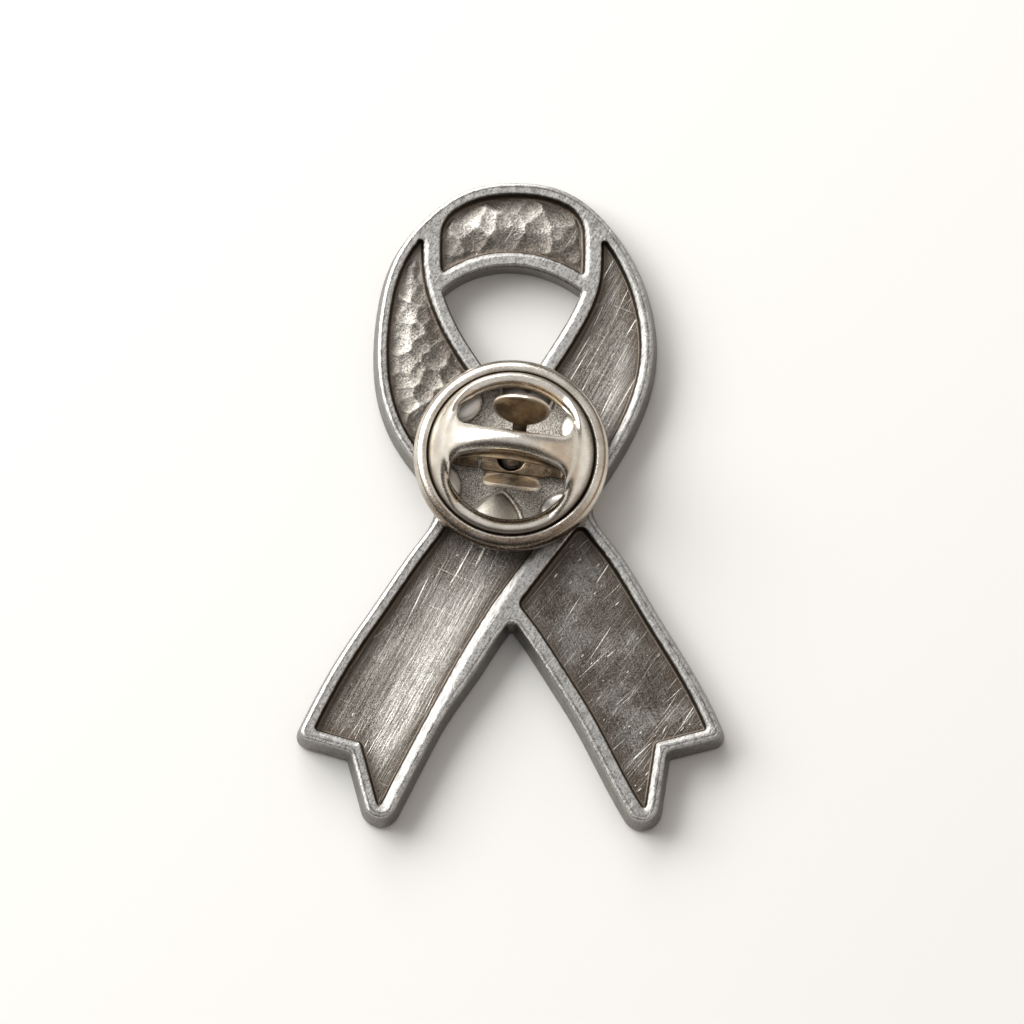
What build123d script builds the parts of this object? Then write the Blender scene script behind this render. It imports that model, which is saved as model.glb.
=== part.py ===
from build123d import *
from math import atan, cos, degrees, radians, sin, sqrt
import os

os.makedirs("parts", exist_ok=True)

# The ribbon lies face down: its front is at z = 0 and its back, with the post, faces +Z.
# All sizes are in millimetres, and the ribbon's length runs along Y.

# Sizes of the cast ribbon
ribbon_height = 39.2      # from the top of the loop to the tips of the tails
loop_reach = 8.1          # from the middle to the widest point of the loop
tail_reach = 12.45        # from the middle to the outer corner of a tail
plate_thickness = 2.05
panel_depth = 0.6         # how far the panels are sunk below the rims
panel_slope = 0.16        # how far a rim's inner side leans in over the panel depth
rim_width = 0.62          # rim along the outline
loop_rim_width = 0.5      # rim along the outline beside the left panel
arch_rim_width = 0.62     # rim round the top of the arch panel
tail_rim_width = 0.78     # rim along the inner sides of the tails
hole_rim_width = 0.84     # rim between the hole and the arch panel
left_rim_width = 0.84     # rim between the hole and the left panel
right_rim_width = 0.93    # rim between the hole and the right panel
arch_divider = 0.95       # rims between the arch panel and its neighbours
cross_divider = 1.15      # rims where the upper strand crosses the lower one
wall_flare = 0.3          # how far the outer wall widens from the back to the front
front_round = 0.35        # softened edge round the front face
corner_round = 0.45       # rounding of the tails' outer corners
tip_round = 0.9           # rounding of the tails' tips
hole_round = 0.3          # rounding of the hole's corners
arch_round = 2.0          # rounding of the arch panel's upper corners
crotch_round = 0.5        # rounding of the right tail's panel over the crotch
panel_round = 0.2         # rounding of the panels' other corners

# Sizes of the post, which is soldered to the ribbon's back
post_x = -0.14
post_y = 2.66
post_radius = 0.57
post_rise = 1.15          # from the ribbon's rims to the post's tip
post_tip_radius = 0.3
post_tip_length = 0.3
neck_radius = 0.45        # groove that the clutch's spring grips
neck_length = 0.3
neck_drop = 0.2           # from the groove to the start of the tip
solder_radius = 1.0
solder_height = 0.4

# Sizes of the clutch; its heights are counted from the bottom of its base
clutch_turn = -7.0        # degrees about the post
clutch_lift = 0.35        # from the ribbon's rims to the clutch
base_thickness = 0.3
hole_radius = 0.83        # hole for the post, in the base and in the spring
rim_radius = 5.75
rim_height = 1.65
rim_roll = 0.58           # radius of the rim's rolled edge
rim_sheet = 0.22          # thickness of the rolled edge at its lip
base_round = 0.7          # rounding under the rim
groove_width = 0.31       # between the rolled rim and the foot of the shell
dome_height = 3.9         # from the groove to the top of the bridge
dome_fullness = 1.32      # how round the dome is, from 1 for an ellipse to 2 for a bell
shell_thickness = 0.32
shell_gap = 0.03          # between the shell's flange and the rim round it
bead_width = 0.59         # bead left round the foot of the shell, outside the windows
bead_height = 0.38
window_inset = 0.82       # from the bead to the ends of the windows
window_round = 0.8
bridge_half = 0.58        # half the width of the bridge between the windows
bridge_flare = 0.42       # how far each side of the bridge widens towards its ends
lip_depth = 0.9           # how far the windows' edges are turned down
lip_thickness = 0.3

# Sizes of the leaves that are pressed up from the base
leaf_height = 0.35
large_leaf_length = 3.0   # from its point to where it meets the wall of the base
large_leaf_half = 1.45
large_leaf_belly = 1.1    # from the wall of the base to the widest place of a large leaf
large_leaf_fullness = 0.68  # half width midway from the point to the widest place, as a share of the widest
large_leaf_sweep = 0.18   # how far that middle lies towards the point
large_leaf_angles = (84, 264)
small_leaf_inset = 0.75   # from the wall of the base to the middle of a small leaf
small_leaf_half_length = 1.0
small_leaf_half_width = 1.2
leaf_spread = 1.12        # a pad's dome is this much wider than its outline
small_leaf_angles = (29, 139, 209, 319)

# Sizes of the brass spring
spring_thickness = 0.3
spring_seat = 0.04        # between the base and the spring
spring_shift = 0.25       # from the post to the middle of the spring's plate
plate_length = 3.95
plate_width = 2.0
loop_strip = 0.24         # thickness of the loop under the bridge
loop_width = 1.8
loop_half_length = 3.4
loop_shoulder = 2.3       # height of the loop's ends
loop_top = 3.75           # height of the loop in its middle
loop_round = 0.5
wing_shift = 0.3          # from the post to the middle of the wings
wing_gap = 0.05           # between the plate and a wing's rolled foot
wing_thickness = 0.24
neck_width = 1.0
wing_foot_radius = 0.15
paddle_width = 3.4
paddle_length = 2.35
paddle_lean = 60.0        # degrees from the level of the plate
paddle_reach = 1.6        # from the post to the lower end of a paddle
paddle_height = 2.65      # height of the lower end of a paddle

# Every table below gives heights as shares of the ribbon's height from its middle.

# Outline of the loop from its top down to the waist: height, left and right reach, as shares of loop_reach
loop_rows = [
    (0.487, 0.364, 0.358),
    (0.449, 0.630, 0.611),
    (0.388, 0.862, 0.827),
    (0.301, 0.980, 0.978),
    (0.236, 1.000, 1.003),
    (0.168, 0.966, 0.942),
    (0.102, 0.842, 0.806),
    (0.040, 0.625, 0.628),
    (0.003, 0.533, 0.548),
]

# Outer sides of the tails from the waist to above the corners, as shares of tail_reach
tail_outer_rows = [
    (-0.028, 0.372, 0.392),
    (-0.059, 0.439, 0.468),
    (-0.148, 0.625, 0.646),
    (-0.235, 0.803, 0.815),
    (-0.306, 0.922, 0.938),
]

# The left and the right tail's end: height and reach of its corner, its notch and its tip
left_end_rows = [
    (-0.359, 1.000),
    (-0.381, 0.750),
    (-0.526, 0.622),
]
right_end_rows = [
    (-0.352, 1.000),
    (-0.375, 0.735),
    (-0.520, 0.672),
]

# Inner sides of the tails from above the tips up to the crotch
tail_inner_rows = [
    (-0.459, 0.528, 0.542),
    (-0.392, 0.425, 0.428),
    (-0.331, 0.327, 0.326),
    (-0.250, 0.159, 0.166),
    (-0.204, 0.069, 0.071),
    (-0.174, 0.000, 0.000),
]

# Left edge of the right strand's panel, from the top right down over the crossing: height, place across
right_strand_rows = [
    (0.530, 0.570),
    (0.460, 0.610),
    (0.395, 0.625),
    (0.348, 0.614),
    (0.306, 0.551),
    (0.255, 0.422),
    (0.214, 0.301),
    (0.060, -0.197),
]

# Right edge of the left strand's panel, from the top left down under the crossing: height, place across
left_strand_rows = [
    (0.530, -0.625),
    (0.460, -0.665),
    (0.398, -0.676),
    (0.360, -0.668),
    (0.307, -0.600),
    (0.260, -0.495),
    (0.207, -0.332),
    (0.090, 0.075),
    (-0.030, 0.540),
]

# Right edge of the right strand's panel, from the right waist down to the crotch: height, place across
crossing_rows = [
    (0.061, 0.632),
    (-0.098, 0.051),
    (-0.136, -0.080),
]

# Upper edge of the hole: height, place across
hole_top_rows = [
    (0.322, -0.570),
    (0.350, -0.407),
    (0.3695, -0.117),
    (0.364, 0.175),
    (0.348, 0.360),
    (0.327, 0.510),
]


def mirrored_points(rows, side, full_reach):
    """The points of a table's left column, for side -1, or of its right one, for side 1."""
    column = 1 if side < 0 else 2
    return [(side * row[column] * full_reach, row[0] * ribbon_height) for row in rows]


def end_points(side):
    """The corner, the notch and the tip of the left tail, for side -1, or of the right one, for side 1."""
    rows = left_end_rows if side < 0 else right_end_rows
    return [(side * reach * tail_reach, height * ribbon_height) for height, reach in rows]


def strand_points(rows):
    return [(row[1] * loop_reach, row[0] * ribbon_height) for row in rows]


def beside(points, distance, closed=False):
    """Points shifted to the right of the way that they run, or to the left for a negative distance."""
    count = len(points)
    shifted = []
    for i, (x, y) in enumerate(points):
        before = points[(i - 1) % count] if closed or i > 0 else None
        after = points[(i + 1) % count] if closed or i < count - 1 else None
        sides = []
        if before:
            sides.append((Vector(x, y) - Vector(*before)).normalized().rotate(Axis.Z, -90))
        if after:
            sides.append((Vector(*after) - Vector(x, y)).normalized().rotate(Axis.Z, -90))
        first, last = sides[0], sides[-1]
        step = (first + last) * (distance / (1 + first.dot(last)))
        shifted.append((x + step.X, y + step.Y))
    return shifted


def curves(points, rows=5):
    """A line or smooth curve through a chain of points, cut into pieces of so many rows where it is long."""
    if len(points) == 2:
        return [Line(points)]
    whole = Spline(points)
    if len(points) <= rows + 2:
        return [whole]
    cuts = [0] + [whole.param_at_point(points[i]) for i in range(rows, len(points) - 2, rows)] + [1]
    return [whole.trim(start, end) for start, end in zip(cuts, cuts[1:])]


def outline_half(side):
    """One half of the outline from below the top to the tip, and from the tip to below the crotch."""
    loop = mirrored_points(loop_rows, side, loop_reach)
    outer = mirrored_points(tail_outer_rows, side, tail_reach)
    inner = mirrored_points(tail_inner_rows, side, tail_reach)
    return loop + outer + end_points(side) + inner


def outline_face(inset):
    """The ribbon's outline, moved in by inset, with sharp corners at the tails' ends and the crotch."""
    top = [(0, ribbon_height / 2)]
    ring = top + outline_half(1) + outline_half(-1)[-2::-1]
    corner = len(loop_rows) + len(tail_outer_rows) + 1
    notch, tip = corner + 1, corner + 2
    crotch = tip + len(tail_inner_rows)
    stops = [corner, notch, tip, crotch] + [len(ring) - stop for stop in (tip, notch, corner)]
    moved = beside(ring, inset, closed=True)
    edges = []
    for first, last in zip(stops, stops[1:]):
        edges += curves(moved[first : last + 1])
    edges += curves(moved[stops[-1] :] + moved[: stops[0] + 1])
    return make_face(edges)


def region(*chains):
    """A flat region bounded by chains of points, curved where a chain has three or more, joined by lines."""
    edges = []
    for points, following in zip(chains, chains[1:] + chains[:1]):
        if len(points) > 1:
            edges += curves(points, len(points))
        edges.append(Line(points[-1], following[0]))
    return make_face(edges)


def beyond(points, side):
    """All that lies to the left of a curve that runs downwards, for side -1, or to its right, for side 1."""
    return region(points, [(side * far, points[-1][1])], [(side * far, points[0][1])])


def lengthened(points, amount):
    """A chain of points carried on straight past its last point."""
    last = Vector(*points[-1])
    step = (last - Vector(*points[-2])).normalized() * amount
    return points + [(last.X + step.X, last.Y + step.Y)]


# Curves that part the panels from each other
far = 2 * ribbon_height
tip_reach = ribbon_height / 10
left_waist = mirrored_points(tail_outer_rows[:1], -1, tail_reach)
right_strand = strand_points(right_strand_rows) + left_waist
left_strand = strand_points(left_strand_rows)
hole_top = strand_points(hole_top_rows)
left_tail_inner = (end_points(-1)[-1:] + mirrored_points(tail_inner_rows, -1, tail_reach))[::-1]
right_tail_inner = (end_points(1)[-1:] + mirrored_points(tail_inner_rows, 1, tail_reach))[::-1]
crossing_top = strand_points(crossing_rows)


def crossing(slope):
    """Right edge of the upper strand's panel, from past the right waist down to past the left tip."""
    top = lengthened(crossing_top[::-1], tip_reach)[::-1]
    inner = lengthened(left_tail_inner, tip_reach)
    return beside(top, slope) + beside(inner, tail_rim_width + slope)[3:]


def hole_face(slope):
    (left_end, right_end) = hole_top[0], hole_top[-1]
    top = beside(hole_top, slope)
    below = region(top, [(far, right_end[1])], [(far, -far)], [(-far, -far)], [(-far, left_end[1])])
    left = beyond(beside(left_strand, -left_rim_width - slope), 1)
    right = beyond(beside(right_strand, right_rim_width + slope), -1)
    return below & left & right


def arch_panel(slope):
    lower_edge = beside(hole_top, -hole_rim_width - slope)
    above = region(lower_edge, [(lower_edge[-1][0], far)], [(lower_edge[0][0], far)])
    left = beyond(beside(left_strand, -arch_divider - slope), 1)
    right = beyond(beside(right_strand, arch_divider + slope), -1)
    return outline_face(arch_rim_width + slope) & above & left & right


def left_panel(slope):
    left = beyond(beside(left_strand, slope), -1)
    above_crossing = beyond(beside(right_strand, cross_divider + slope), -1)
    return outline_face(loop_rim_width + slope) & left & above_crossing


def upper_strand_panel(slope):
    left_edge = beside(right_strand, -slope)
    right_edge = crossing(slope)
    strand = region(
        left_edge,
        [(-far, left_edge[-1][1])],
        [(-far, -far)],
        [(right_edge[-1][0], -far)],
        right_edge[::-1],
        [(far, right_edge[0][1])],
        [(far, left_edge[0][1])],
    )
    return outline_face(rim_width + slope) & strand


def right_tail_panel(slope):
    edge = beside(crossing(0)[:5], -cross_divider - slope)
    below = region(edge, [(edge[-1][0], -far)], [(far, -far)], [(far, edge[0][1])])
    inner = lengthened(lengthened(right_tail_inner[::-1], tip_reach / 2)[::-1], tip_reach)
    rim = region(beside(inner, -tail_rim_width - slope), beside(inner, tail_rim_width)[::-1])
    return outline_face(rim_width + slope) & below - rim


def sharp_corners(face):
    """The corners of a flat face at which its edge turns by more than a few degrees."""
    corners = []
    for corner in face.vertices():
        ways = []
        for edge in face.edges():
            for at_end in (0, 1):
                if (edge @ at_end - Vector(corner)).length < 1e-4:
                    ways.append((edge % at_end) * (1 - 2 * at_end))
        if len(ways) == 2 and ways[0].get_angle(ways[1]) < 170:
            corners.append(corner)
    return corners


def rounded(face, radius, other_radius=None, height=None):
    """A flat face with its sharp corners rounded; other_radius is for those over its middle or a height."""
    if other_radius is not None:
        height = face.center().Y if height is None else height
        upper = [corner for corner in sharp_corners(face) if corner.Y > height]
        face = fillet(upper, other_radius).faces()[0]
    return fillet(sharp_corners(face), radius).faces()[0]


def stacked(levels):
    """A solid with straight walls through flat faces of the same form: pairs of height and face."""
    return loft([Pos(0, 0, height) * face for height, face in levels], ruled=True)


def pocket(panel, upper_radius=None):
    """The space above a panel's floor, wider by panel_slope at the rims than at the floor."""
    floor = plate_thickness - panel_depth
    above = plate_thickness + panel_depth
    return stacked([
        (floor, rounded(panel(panel_slope).faces()[0], panel_round, upper_radius)),
        (above, rounded(panel(-panel_slope).faces()[0], panel_round, upper_radius)),
    ])


def ribbon_plate():
    """The cast ribbon: an outer wall that widens to the front, a softened front edge, and the loop's hole."""
    above_tips = (left_end_rows[1][0] + left_end_rows[2][0]) / 2 * ribbon_height
    outlines = [
        rounded(outline_face(inset), tip_round, corner_round, above_tips)
        for inset in (0, -wall_flare, front_round - wall_flare)
    ]
    body = stacked(zip((plate_thickness, front_round, 0), outlines))
    hole = stacked([
        (2 * plate_thickness, rounded(hole_face(-wall_flare).faces()[0], hole_round)),
        (-plate_thickness / 2, rounded(hole_face(wall_flare / 2).faces()[0], hole_round)),
    ])
    return body - hole


def post():
    """The post with the solder round its foot, a groove for the spring, and a blunt tip."""
    floor = plate_thickness - panel_depth
    top = plate_thickness + post_rise
    tip = top - post_tip_length
    neck = tip - neck_drop
    return Pos(post_x, post_y) * revolve(
        make_face(
            Polyline(
                (0, floor / 2),
                (solder_radius, floor / 2),
                (solder_radius, floor),
                (post_radius, floor + solder_height),
                (post_radius, neck - neck_length),
                (neck_radius, neck - neck_length * 2 / 3),
                (neck_radius, neck - neck_length / 3),
                (post_radius, neck),
                (post_radius, tip),
                (post_tip_radius, top),
                (0, top),
                close=True,
            )
        ).rotate(Axis.X, 90)
    )


def ribbon():
    body = ribbon_plate()
    body -= pocket(arch_panel, arch_round)
    body -= pocket(left_panel)
    body -= pocket(upper_strand_panel)
    body -= pocket(right_tail_panel, crotch_round)
    return body + post()


def turned(edges):
    """A solid turned about Z from the edges of half its section, drawn as radius and height."""
    return revolve(Plane.XZ * make_face(edges), Axis.Z)


# Heights and radii in the clutch, counted from the bottom of its base and from the post
roll_radius = rim_radius - rim_roll
roll_height = rim_height - rim_roll
inside_radius = rim_radius - rim_sheet
groove_height = rim_height - rim_sheet - shell_gap
floor_radius = rim_radius - base_round
bead_radius = roll_radius - groove_width
window_radius = bead_radius - bead_width
window_reach = window_radius - window_inset
spring_bottom = base_thickness + spring_seat
spring_top = spring_bottom + spring_thickness
wing_axis_reach = plate_width / 2 + wing_gap + wing_foot_radius
wing_axis_height = spring_bottom + wing_foot_radius


def base_pan():
    """The base: a flat bottom with the post's hole, and a wall whose edge is rolled in over the shell."""
    inner_round = base_round - base_thickness
    inner_corner = inside_radius - inner_round
    return turned([
        Line((hole_radius, 0), (floor_radius, 0)),
        TangentArc((floor_radius, 0), (rim_radius, base_round), tangent=(1, 0)),
        Line((rim_radius, base_round), (rim_radius, roll_height)),
        TangentArc((rim_radius, roll_height), (roll_radius, rim_height), tangent=(0, 1)),
        Line((roll_radius, rim_height), (roll_radius, rim_height - rim_sheet)),
        TangentArc((roll_radius, rim_height - rim_sheet), (inside_radius, roll_height), tangent=(1, 0)),
        Line((inside_radius, roll_height), (inside_radius, base_round)),
        TangentArc((inside_radius, base_round), (inner_corner, base_thickness), tangent=(0, -1)),
        Line((inner_corner, base_thickness), (hole_radius, base_thickness)),
        Line((hole_radius, base_thickness), (hole_radius, 0)),
    ])


def domed(outline, half_width):
    """A pressed pad on the base over a flat outline whose middle is at the origin: a slice of a ball."""
    ball = (half_width**2 + leaf_height**2) / (2 * leaf_height)
    top = base_thickness + leaf_height
    return extrude(outline, top) & Pos(0, 0, top - ball) * Sphere(ball)


def large_leaf():
    """A pointed leaf along X, from its tip to the wall of the base."""
    tip = floor_radius - large_leaf_length
    belly = floor_radius - large_leaf_belly
    bulge = ((tip + belly) / 2 - large_leaf_sweep, large_leaf_half * large_leaf_fullness)
    upper = [
        ThreePointArc((tip, 0), bulge, (belly, large_leaf_half)),
        Line((belly, large_leaf_half), (floor_radius, large_leaf_half)),
    ]
    lower = [edge.mirror(Plane.XZ) for edge in upper]
    end = Line((floor_radius, large_leaf_half), (floor_radius, -large_leaf_half))
    middle = (tip + floor_radius) / 2
    outline = Pos(-middle, 0) * make_face(upper + [end] + lower)
    return Pos(middle, 0) * domed(outline, leaf_spread * large_leaf_length / 2)


def small_leaf():
    outline = Ellipse(small_leaf_half_length, small_leaf_half_width)
    return Pos(floor_radius - small_leaf_inset, 0) * domed(outline, leaf_spread * small_leaf_half_width)


def clutch_base():
    body = base_pan()
    within = Pos(0, 0, base_thickness / 2) * Cylinder(
        floor_radius, base_thickness + leaf_height, align=(Align.CENTER, Align.CENTER, Align.MIN)
    )
    for angle in large_leaf_angles:
        body += Rot(0, 0, angle) * large_leaf() & within
    for angle in small_leaf_angles:
        body += Rot(0, 0, angle) * small_leaf() & within
    return body


def dome(inset):
    """The solid under the shell's dome, moved in by inset, down to the groove."""
    across = bead_radius - inset
    rise = dome_height - inset
    slopes = [radians(10 * step) for step in range(10)]
    points = [(across * cos(slope), groove_height + rise * sin(slope) ** dome_fullness) for slope in slopes]
    return turned([
        Spline(points, tangents=[(0, 1), (-1, 0)]),
        Line((0, groove_height + rise), (0, groove_height)),
        Line((0, groove_height), (across, groove_height)),
    ])


def shell_foot():
    """The ring round the foot of the shell: the flange that the rim holds, up to the bead's inner side."""
    flange_bottom = groove_height - shell_thickness
    flange_end = inside_radius - shell_gap
    inner = window_radius - lip_thickness
    inner_top = groove_height + bead_height / 2
    return turned([
        Line((inner, flange_bottom), (flange_end, flange_bottom)),
        Line((flange_end, flange_bottom), (flange_end, roll_height)),
        TangentArc((flange_end, roll_height), (roll_radius, groove_height), tangent=(0, 1)),
        Line((roll_radius, groove_height), (bead_radius - shell_thickness / 2, groove_height)),
        Line((bead_radius - shell_thickness / 2, groove_height), (inner, inner_top)),
        Line((inner, inner_top), (inner, flange_bottom)),
    ])


def window(spread, outer_radius):
    """The outline of the window on the side of +Y, widened by spread, out to a radius."""
    reach = window_reach + spread
    near = bridge_half - spread
    shoulder = near + bridge_flare
    corner = sqrt(outer_radius**2 - reach**2)
    outline = make_face([
        ThreePointArc((-reach, shoulder), (0, near), (reach, shoulder)),
        Line((reach, shoulder), (reach, corner)),
        ThreePointArc((reach, corner), (0, outer_radius), (-reach, corner)),
        Line((-reach, corner), (-reach, shoulder)),
    ])
    return fillet(outline.vertices(), window_round + spread)


def clutch_shell():
    """The domed shell, with a bridge left between two windows whose edges are turned down."""
    top = groove_height + dome_height
    bead_top = groove_height + bead_height
    opening = extrude(window(0, window_radius), 2 * top)
    around = extrude(window(lip_thickness, window_radius + lip_thickness), 2 * top) - opening
    lip = around & dome(0) - Pos(0, 0, -lip_depth) * dome(0)
    above_bead = Pos(0, 0, bead_top) * extrude(window(0, bead_radius), top)
    body = dome(0) - dome(shell_thickness) + shell_foot()
    for side in (0, 180):
        body -= Rot(0, 0, side) * opening
        body += Rot(0, 0, side) * lip
        body -= Rot(0, 0, side) * above_bead
    return body


def loop_outline(inset, bottom, rounding):
    half = loop_half_length - inset
    shoulder = loop_shoulder - inset
    outline = make_face([
        Line((-half, bottom), (half, bottom)),
        Line((half, bottom), (half, shoulder)),
        ThreePointArc((half, shoulder), (0, loop_top - inset), (-half, shoulder)),
        Line((-half, shoulder), (-half, bottom)),
    ])
    return fillet(outline.vertices(), rounding)


def spring_clip():
    """The spring's plate, with the hole for the post, and the loop that rises from it under the bridge."""
    outer = loop_outline(0, spring_bottom, loop_round)
    inner = loop_outline(loop_strip, spring_top, loop_round - loop_strip)
    loop = extrude(Plane.XZ * (outer - inner), loop_width / 2, both=True)
    plate_middle = (spring_bottom + spring_top) / 2
    plate = Pos(spring_shift, 0, plate_middle) * Box(plate_length, plate_width, spring_thickness)
    return loop + plate - Cylinder(hole_radius, 3 * spring_top)


def leaning(reach, height, lean):
    """A plane with its origin over the side of +Y, whose own Y climbs away from the post."""
    return Plane(
        origin=(wing_shift, reach, height),
        x_dir=(1, 0, 0),
        z_dir=(0, -sin(radians(lean)), cos(radians(lean))),
    )


def spring_wing():
    """The wing on the side of +Y: a rolled foot, a neck, and the oval paddle that fingers squeeze."""
    axis = Pos(wing_shift, wing_axis_reach, wing_axis_height) * Rot(0, 90, 0)
    foot = axis * Cylinder(wing_foot_radius, neck_width)
    rise = Vector(paddle_reach - wing_axis_reach, paddle_height - wing_axis_height)
    neck_plane = leaning(wing_axis_reach, wing_axis_height, degrees(atan(rise.Y / rise.X)))
    neck = neck_plane * Pos(0, rise.length / 2) * Box(neck_width, rise.length, wing_thickness)
    paddle_plane = leaning(paddle_reach, paddle_height, paddle_lean)
    oval = Ellipse(paddle_width / 2, paddle_length / 2)
    paddle = paddle_plane * Pos(0, paddle_length / 2) * extrude(oval, wing_thickness / 2, both=True)
    overlap = paddle_plane * Pos(0, wing_thickness) * Box(neck_width, 2 * wing_thickness, wing_thickness)
    return foot + neck + paddle + overlap


export_step(ribbon(), "parts/ribbon.step")

# The clutch is pushed onto the post, turned a little about it
on_post = Pos(post_x, post_y, plate_thickness + clutch_lift) * Rot(0, 0, clutch_turn)
export_step(on_post * clutch_base(), "parts/clutch_base.step")
export_step(on_post * clutch_shell(), "parts/clutch_shell.step")
export_step(on_post * spring_clip(), "parts/spring_clip.step")
export_step(on_post * spring_wing(), "parts/spring_wing_upper.step")
export_step(on_post * mirror(spring_wing(), Plane.XZ), "parts/spring_wing_lower.step")
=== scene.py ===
import math
from functools import reduce

import bmesh
import bpy
import numpy as np
from mathutils import Matrix, Vector
from mathutils.geometry import delaunay_2d_cdt
from mathutils.kdtree import KDTree


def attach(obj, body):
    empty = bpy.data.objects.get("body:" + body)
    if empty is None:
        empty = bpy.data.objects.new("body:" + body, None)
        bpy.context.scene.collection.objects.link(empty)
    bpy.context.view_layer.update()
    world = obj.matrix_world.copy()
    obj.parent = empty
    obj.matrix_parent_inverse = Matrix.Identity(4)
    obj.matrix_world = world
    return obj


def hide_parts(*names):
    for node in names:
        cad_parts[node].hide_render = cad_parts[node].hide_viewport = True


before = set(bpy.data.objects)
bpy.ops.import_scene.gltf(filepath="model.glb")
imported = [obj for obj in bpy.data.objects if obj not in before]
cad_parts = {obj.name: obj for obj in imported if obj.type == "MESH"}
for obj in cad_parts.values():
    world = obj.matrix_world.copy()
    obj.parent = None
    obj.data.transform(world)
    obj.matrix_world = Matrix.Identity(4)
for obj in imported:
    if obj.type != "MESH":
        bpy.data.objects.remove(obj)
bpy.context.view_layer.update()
MM = 0.001

# Sizes and heights are in millimetres. The ribbon lies on its front, and its back faces up.
RIM_TOP = 2.05            # height of the rims on the ribbon's back
FLOOR = 1.45              # height of the sunk panels
POST = (-0.14, 2.66)      # middle of the post

# The clutch is made in a frame of its own: from the post, before its turn, above its own bottom.
CLUTCH_LIFT = 2.4
CLUTCH_TURN = math.radians(-7.0)
RIM_RADIUS = 5.75
RIM_HEIGHT = 1.65
RIM_ROLL = 0.58           # radius of the rolled rim
GROOVE = 1.40             # height of the foot of the shell
BEAD_OUTER = 4.905        # outer side of the bead round the shell's foot
BEAD_INNER = 4.16         # its inner side, where the windows start
DOME_HEIGHT = 3.9
WINDOW_REACH = 3.45
WINDOW_ROUND = 0.8
BRIDGE_HALF = 0.58
BRIDGE_FLARE = 0.42


# Points, loops and meshes

def smooth(low, high, value):
    """A soft step from 0 at low to 1 at high."""
    t = np.clip((value - low) / (high - low), 0.0, 1.0)
    return t * t * (3 - 2 * t)


def mesh_points(mesh):
    """A mesh's points in millimetres."""
    points = np.zeros(len(mesh.vertices) * 3)
    mesh.vertices.foreach_get("co", points)
    return points.reshape(-1, 3) / MM


def node_points(name):
    """The corners, in millimetres and merged, and the triangles of a CAD node."""
    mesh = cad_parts[name].data
    mesh.calc_loop_triangles()
    triangles = np.zeros(len(mesh.loop_triangles) * 3, dtype=int)
    mesh.loop_triangles.foreach_get("vertices", triangles)
    merged, index = np.unique(np.round(mesh_points(mesh), 4), axis=0, return_inverse=True)
    return merged, index.reshape(-1)[triangles].reshape(-1, 3)


def loop_length(loop):
    return np.linalg.norm(np.roll(loop, -1, axis=0) - loop, axis=1).sum()


def flat_loops(points, triangles, level):
    """The closed boundary loops of a node's flat area at one height, longest first."""
    flat = np.all(np.abs(points[triangles][:, :, 2] - level) < 1e-3, axis=1)
    count = {}
    for tri in triangles[flat]:
        for a, b in ((tri[0], tri[1]), (tri[1], tri[2]), (tri[2], tri[0])):
            key = (min(a, b), max(a, b))
            count[key] = count.get(key, 0) + 1
    follow = {}
    for (a, b), times in count.items():
        if times == 1:
            follow.setdefault(a, []).append(b)
            follow.setdefault(b, []).append(a)
    loops = []
    seen = set()
    for start in follow:
        if start in seen:
            continue
        loop = [start]
        seen.add(start)
        while True:
            ahead = [p for p in follow[loop[-1]] if p not in seen]
            if not ahead:
                break
            loop.append(ahead[0])
            seen.add(ahead[0])
        loops.append(points[loop][:, :2])
    return sorted(loops, key=loop_length, reverse=True)


def signed_area(loop):
    after = np.roll(loop, -1, axis=0)
    return 0.5 * np.sum(loop[:, 0] * after[:, 1] - after[:, 0] * loop[:, 1])


def resampled(loop, spacing):
    """A closed loop with evenly spaced points, running anticlockwise."""
    if signed_area(loop) < 0:
        loop = loop[::-1]
    closed = np.vstack([loop, loop[:1]])
    lengths = np.concatenate([[0], np.cumsum(np.linalg.norm(np.diff(closed, axis=0), axis=1))])
    count = max(12, int(round(lengths[-1] / spacing)))
    places = np.linspace(0, lengths[-1], count, endpoint=False)
    return np.stack([np.interp(places, lengths, closed[:, k]) for k in (0, 1)], axis=1)


def circle(radius, count):
    """Points round a circle about the middle."""
    angle = np.linspace(0, 2 * math.pi, count, endpoint=False)
    return np.column_stack([radius * np.cos(angle), radius * np.sin(angle)])


def outward(loop):
    """Unit directions out of a closed anticlockwise loop, at its points."""
    along = np.roll(loop, -1, axis=0) - np.roll(loop, 1, axis=0)
    along /= np.linalg.norm(along, axis=1, keepdims=True)
    return np.stack([along[:, 1], -along[:, 0]], axis=1)


def inside(points, loop):
    """Which points lie inside a closed loop."""
    x, y = points[:, 0], points[:, 1]
    result = np.zeros(len(points), dtype=bool)
    for (x0, y0), (x1, y1) in zip(loop, np.roll(loop, -1, axis=0)):
        if y0 == y1:
            continue
        crosses = (y0 > y) != (y1 > y)
        result ^= crosses & (x < (x1 - x0) * (y - y0) / (y1 - y0) + x0)
    return result


def search_tree(points):
    """A tree that finds the nearest of some points."""
    tree = KDTree(len(points))
    for index, (x, y) in enumerate(points):
        tree.insert((x, y, 0), index)
    tree.balance()
    return tree


def nearest(points, loops, spacing=0.02):
    """The distance from each point to the nearest of some loops, and the direction into that loop there."""
    dense = [resampled(loop, spacing) for loop in loops]
    into = -np.vstack([outward(loop) for loop in dense])
    tree = search_tree(np.vstack(dense))
    found = [tree.find((x, y, 0)) for x, y in points]
    return np.array([hit[2] for hit in found]), into[[hit[1] for hit in found]]


def distances(points, loops):
    """The distance from each point to the nearest of some loops."""
    return nearest(points, loops)[0]


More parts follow.
